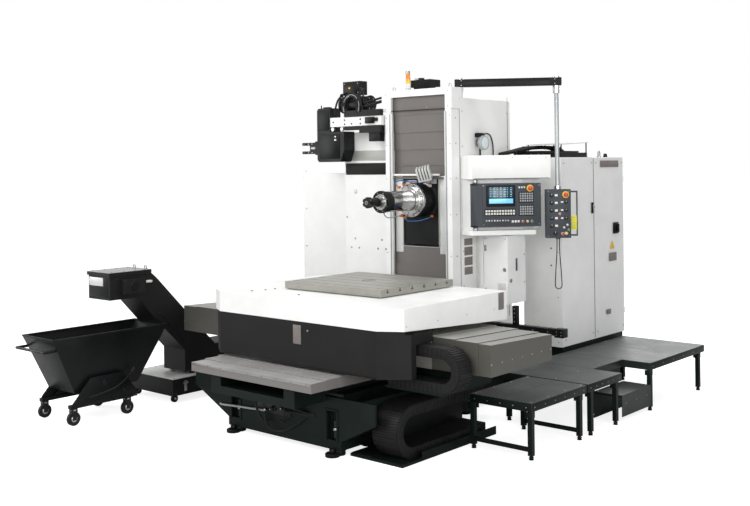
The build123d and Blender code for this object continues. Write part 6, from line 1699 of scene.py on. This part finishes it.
NODE_FINISHES: dict[Finish, tuple[tuple[str, float], ...]] = {
    WHITE: (("table_guard", 0.012), ("column", 0.004), ("column_casing", 0.004), ("column_cap", 0.006),
            ("changer_body", 0.005), ("tool_magazine", 0.005), ("changer_beam", 0.004), ("panel_bracket", 0.02),
            ("service_box", 0.003), ("service_door", 0.004), ("cabinet", 0.003), ("cabinet_door_front", 0.004),
            ("cabinet_door_rear", 0.004)),
    BED_ENAMEL: (("bed", 0.006), ("saddle", 0.004), ("platform_legs", 0.002), ("cabinet_stand", 0.003),
                 ("cable_tray", 0.001)),
    TREAD: (("front_deck", 0.002), ("rear_deck", 0.002), ("step", 0.002)),
    BLACK: (("levelling_feet", 0.004), ("head", 0.004), ("tool_carriage", 0.004), ("column_top_drive", 0.004),
            ("beam_rails", 0.003), ("duct_beam", 0.002), ("coolant_tank", 0.003), ("cart_frame", 0.001),
            ("cabinet_roof_unit", 0.003)),
    COVER: (("bed_cover_ends", 0.0008), ("bed_cover_outer", 0.0008), ("bed_cover_inner", 0.0008),
            ("saddle_bed_covers", 0.0008)),
    CROSS_COVER: (("saddle_cover_ends", 0.0008), ("x_cover_outer", 0.0008), ("x_cover_inner", 0.0008)),
    SHUTTER: (("upper_shutter", 0.0006), ("lower_shutter", 0.0006), ("head_sheet", 0.0006),
              ("column_apron", 0.0006)),
    CHARCOAL: (("table_skirt", 0.001), ("chip_conveyor", 0.003), ("pendant_arm", 0.004)),
    PANEL_GREY: (("pendant", 0.004), ("operator_panel", 0.006)),
    TABLE: (("rotary_table", 0.0015), ("table_slide", 0.002)),
    CHROME: (("head_flange", 0.002), ("quill", 0.0015), ("spindle", 0.001)),
    TOOL_STEEL: (("cutter", 0.001),),
    CAST_ALUMINIUM: (("side_lamp", 0.003),),
    NYLON: (("saddle_cable_chain", 0.001), ("bed_cable_chain", 0.001)),
    AMBER: (("beacon", 0.004),),
    RUBBER: (("cart_casters", 0.001),),
}


class CarriedNodes:
    """Dresses the CAD nodes that stay: a finish in each slot and rounded edges by modifier."""

    weld_distance: float = 0.00005
    flat_angle: float = math.radians(0.5)
    sharp_angle: float = math.radians(30)

    def dress(self) -> None:
        """Give every carried node its finish and its rounded edges."""
        for finish, nodes in NODE_FINISHES.items():
            for name, width in nodes:
                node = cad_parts[name]
                if not node.material_slots:
                    node.data.materials.append(SHOP.get(finish))
                for slot in node.material_slots:
                    slot.material = SHOP.get(finish)
                weld = node.modifiers.new("weld", "WELD")
                weld.merge_threshold = self.weld_distance
                if width > 0:
                    merge = node.modifiers.new("flat", "DECIMATE")
                    merge.decimate_type, merge.angle_limit = "DISSOLVE", self.flat_angle
                    edge = node.modifiers.new("round", "BEVEL")
                    edge.width, edge.segments = width, 2
                    edge.limit_method, edge.angle_limit = "ANGLE", self.sharp_angle
                    edge.harden_normals = True
                LOG.info("%s: %s", name, finish.name)


class Studio:
    """Plain pale floor, soft lamps and the camera of the photograph."""

    camera_place: Point = (7.637, -7.718, 2.866)
    yaw: float = 41.2
    roll: float = -0.7
    focal_px: float = 1008.0
    photo: tuple[int, int] = (750, 506)
    centre_row: float = 165.6

    def floor(self) -> None:
        """Lay the pale floor and give it its material."""
        Bench.clear()
        bpy.ops.mesh.primitive_plane_add(size=400, location=(0, 0, -0.002))
        floor = bpy.context.object
        floor.name = "studio_floor"
        material = bpy.data.materials.new("studio_floor_white")
        material.use_nodes = True
        tree = material.node_tree
        tree.nodes.clear()
        diffuse = SHOP.node(tree, "BsdfDiffuse", values={"Color": (0.62, 0.62, 0.62, 1)})
        glow = SHOP.node(tree, "Emission", values={"Color": (1, 1, 1, 1), "Strength": 0.8})
        both = SHOP.node(tree, "AddShader", links={0: diffuse.outputs[0], 1: glow.outputs[0]})
        path = SHOP.node(tree, "LightPath")
        mixed = SHOP.node(tree, "MixShader", links={
            0: path.outputs["Is Camera Ray"], 1: diffuse.outputs[0], 2: both.outputs[0]})
        SHOP.node(tree, "OutputMaterial", links={"Surface": mixed.outputs[0]})
        floor.data.materials.append(material)

    def world(self) -> None:
        """White surround for the camera and for reflections, plain grey light on the object."""
        world = bpy.data.worlds.new("studio")
        bpy.context.scene.world = world
        world.use_nodes = True
        tree = world.node_tree
        tree.nodes.clear()
        path = SHOP.node(tree, "LightPath")
        seen = SHOP.node(tree, "Background", values={"Color": (1, 1, 1, 1), "Strength": 1.0})
        light = SHOP.node(tree, "Background", values={"Color": (0.96, 0.98, 1, 1), "Strength": 0.45})
        mirror = SHOP.node(tree, "Background", values={"Color": (1, 1, 1, 1), "Strength": 0.7})
        shiny = SHOP.node(tree, "MixShader", links={
            0: path.outputs["Is Glossy Ray"], 1: light.outputs[0], 2: mirror.outputs[0]})
        mixed = SHOP.node(tree, "MixShader", links={
            0: path.outputs["Is Camera Ray"], 1: shiny.outputs[0], 2: seen.outputs[0]})
        SHOP.node(tree, "OutputWorld", links={"Surface": mixed.outputs[0]})

    def lamp(self, name: str, place: Point, aim: Point, size: float, power: float) -> None:
        """Add a square area lamp aimed at a point.

        Args:
            name: the lamp's name.
            place: where it hangs.
            aim: the point it faces.
            size: its side in metres.
            power: its power in watts.
        """
        data = bpy.data.lights.new(name, "AREA")
        data.shape, data.size, data.energy = "SQUARE", size, power
        lamp = bpy.data.objects.new(name, data)
        lamp.location = place
        lamp.rotation_euler = (Vector(aim) - Vector(place)).to_track_quat("-Z", "Y").to_euler()
        bpy.context.scene.collection.objects.link(lamp)

    def camera(self) -> None:
        """Set the camera at the photograph's place, turn, lens and shift."""
        data = bpy.data.cameras.new("photograph")
        data.sensor_width = 36.0
        data.lens = self.focal_px / self.photo[0] * data.sensor_width
        data.shift_y = -(self.photo[1] / 2 - self.centre_row) / self.photo[0]
        data.clip_end = 500
        camera = bpy.data.objects.new("photograph", data)
        turn = (Matrix.Rotation(math.radians(self.yaw), 4, "Z") @ Matrix.Rotation(math.radians(90), 4, "X")
                @ Matrix.Rotation(math.radians(self.roll), 4, "Z"))
        camera.matrix_world = Matrix.Translation(self.camera_place) @ turn
        bpy.context.scene.collection.objects.link(camera)
        bpy.context.scene.camera = camera

    def build(self) -> None:
        """Set up the whole studio."""
        bpy.context.scene.view_settings.view_transform = "Standard"
        self.camera()
        self.floor()
        self.world()
        middle = (0.0, 1.5, 1.4)
        self.lamp("key", (-2.5, -7.0, 8.5), middle, 5.0, 500)
        self.lamp("front", (5.0, -9.0, 4.0), middle, 4.0, 325)
        self.lamp("top", (1.0, 2.5, 9.5), (0.0, 2.0, 1.0), 7.0, 450)
        self.lamp("right", (8.5, -2.5, 3.2), (1.5, 1.0, 1.4), 4.0, 250)
        self.lamp("left", (-8.5, -4.0, 3.5), middle, 4.0, 200)
        self.lamp("back", (-1.0, 12.0, 6.0), middle, 5.0, 320)


def main() -> None:
    """Build the studio and every sub-assembly in order."""
    logging.basicConfig(level=logging.INFO, format="%(name)s %(message)s")
    Studio().build()
    CarriedNodes().dress()
    for sub_assembly in (CableChains(), OperatorPanel(), Pendant(), PendantArm(), SpindleHead(), Table(), Column(),
                         ToolChanger(), BedFront(), ServiceDoor(), Cabinet(), Platforms(), Conveyor(), ChipCart(),
                         BackSide()):
        sub_assembly.build()


if __name__ == "__main__":
    main()
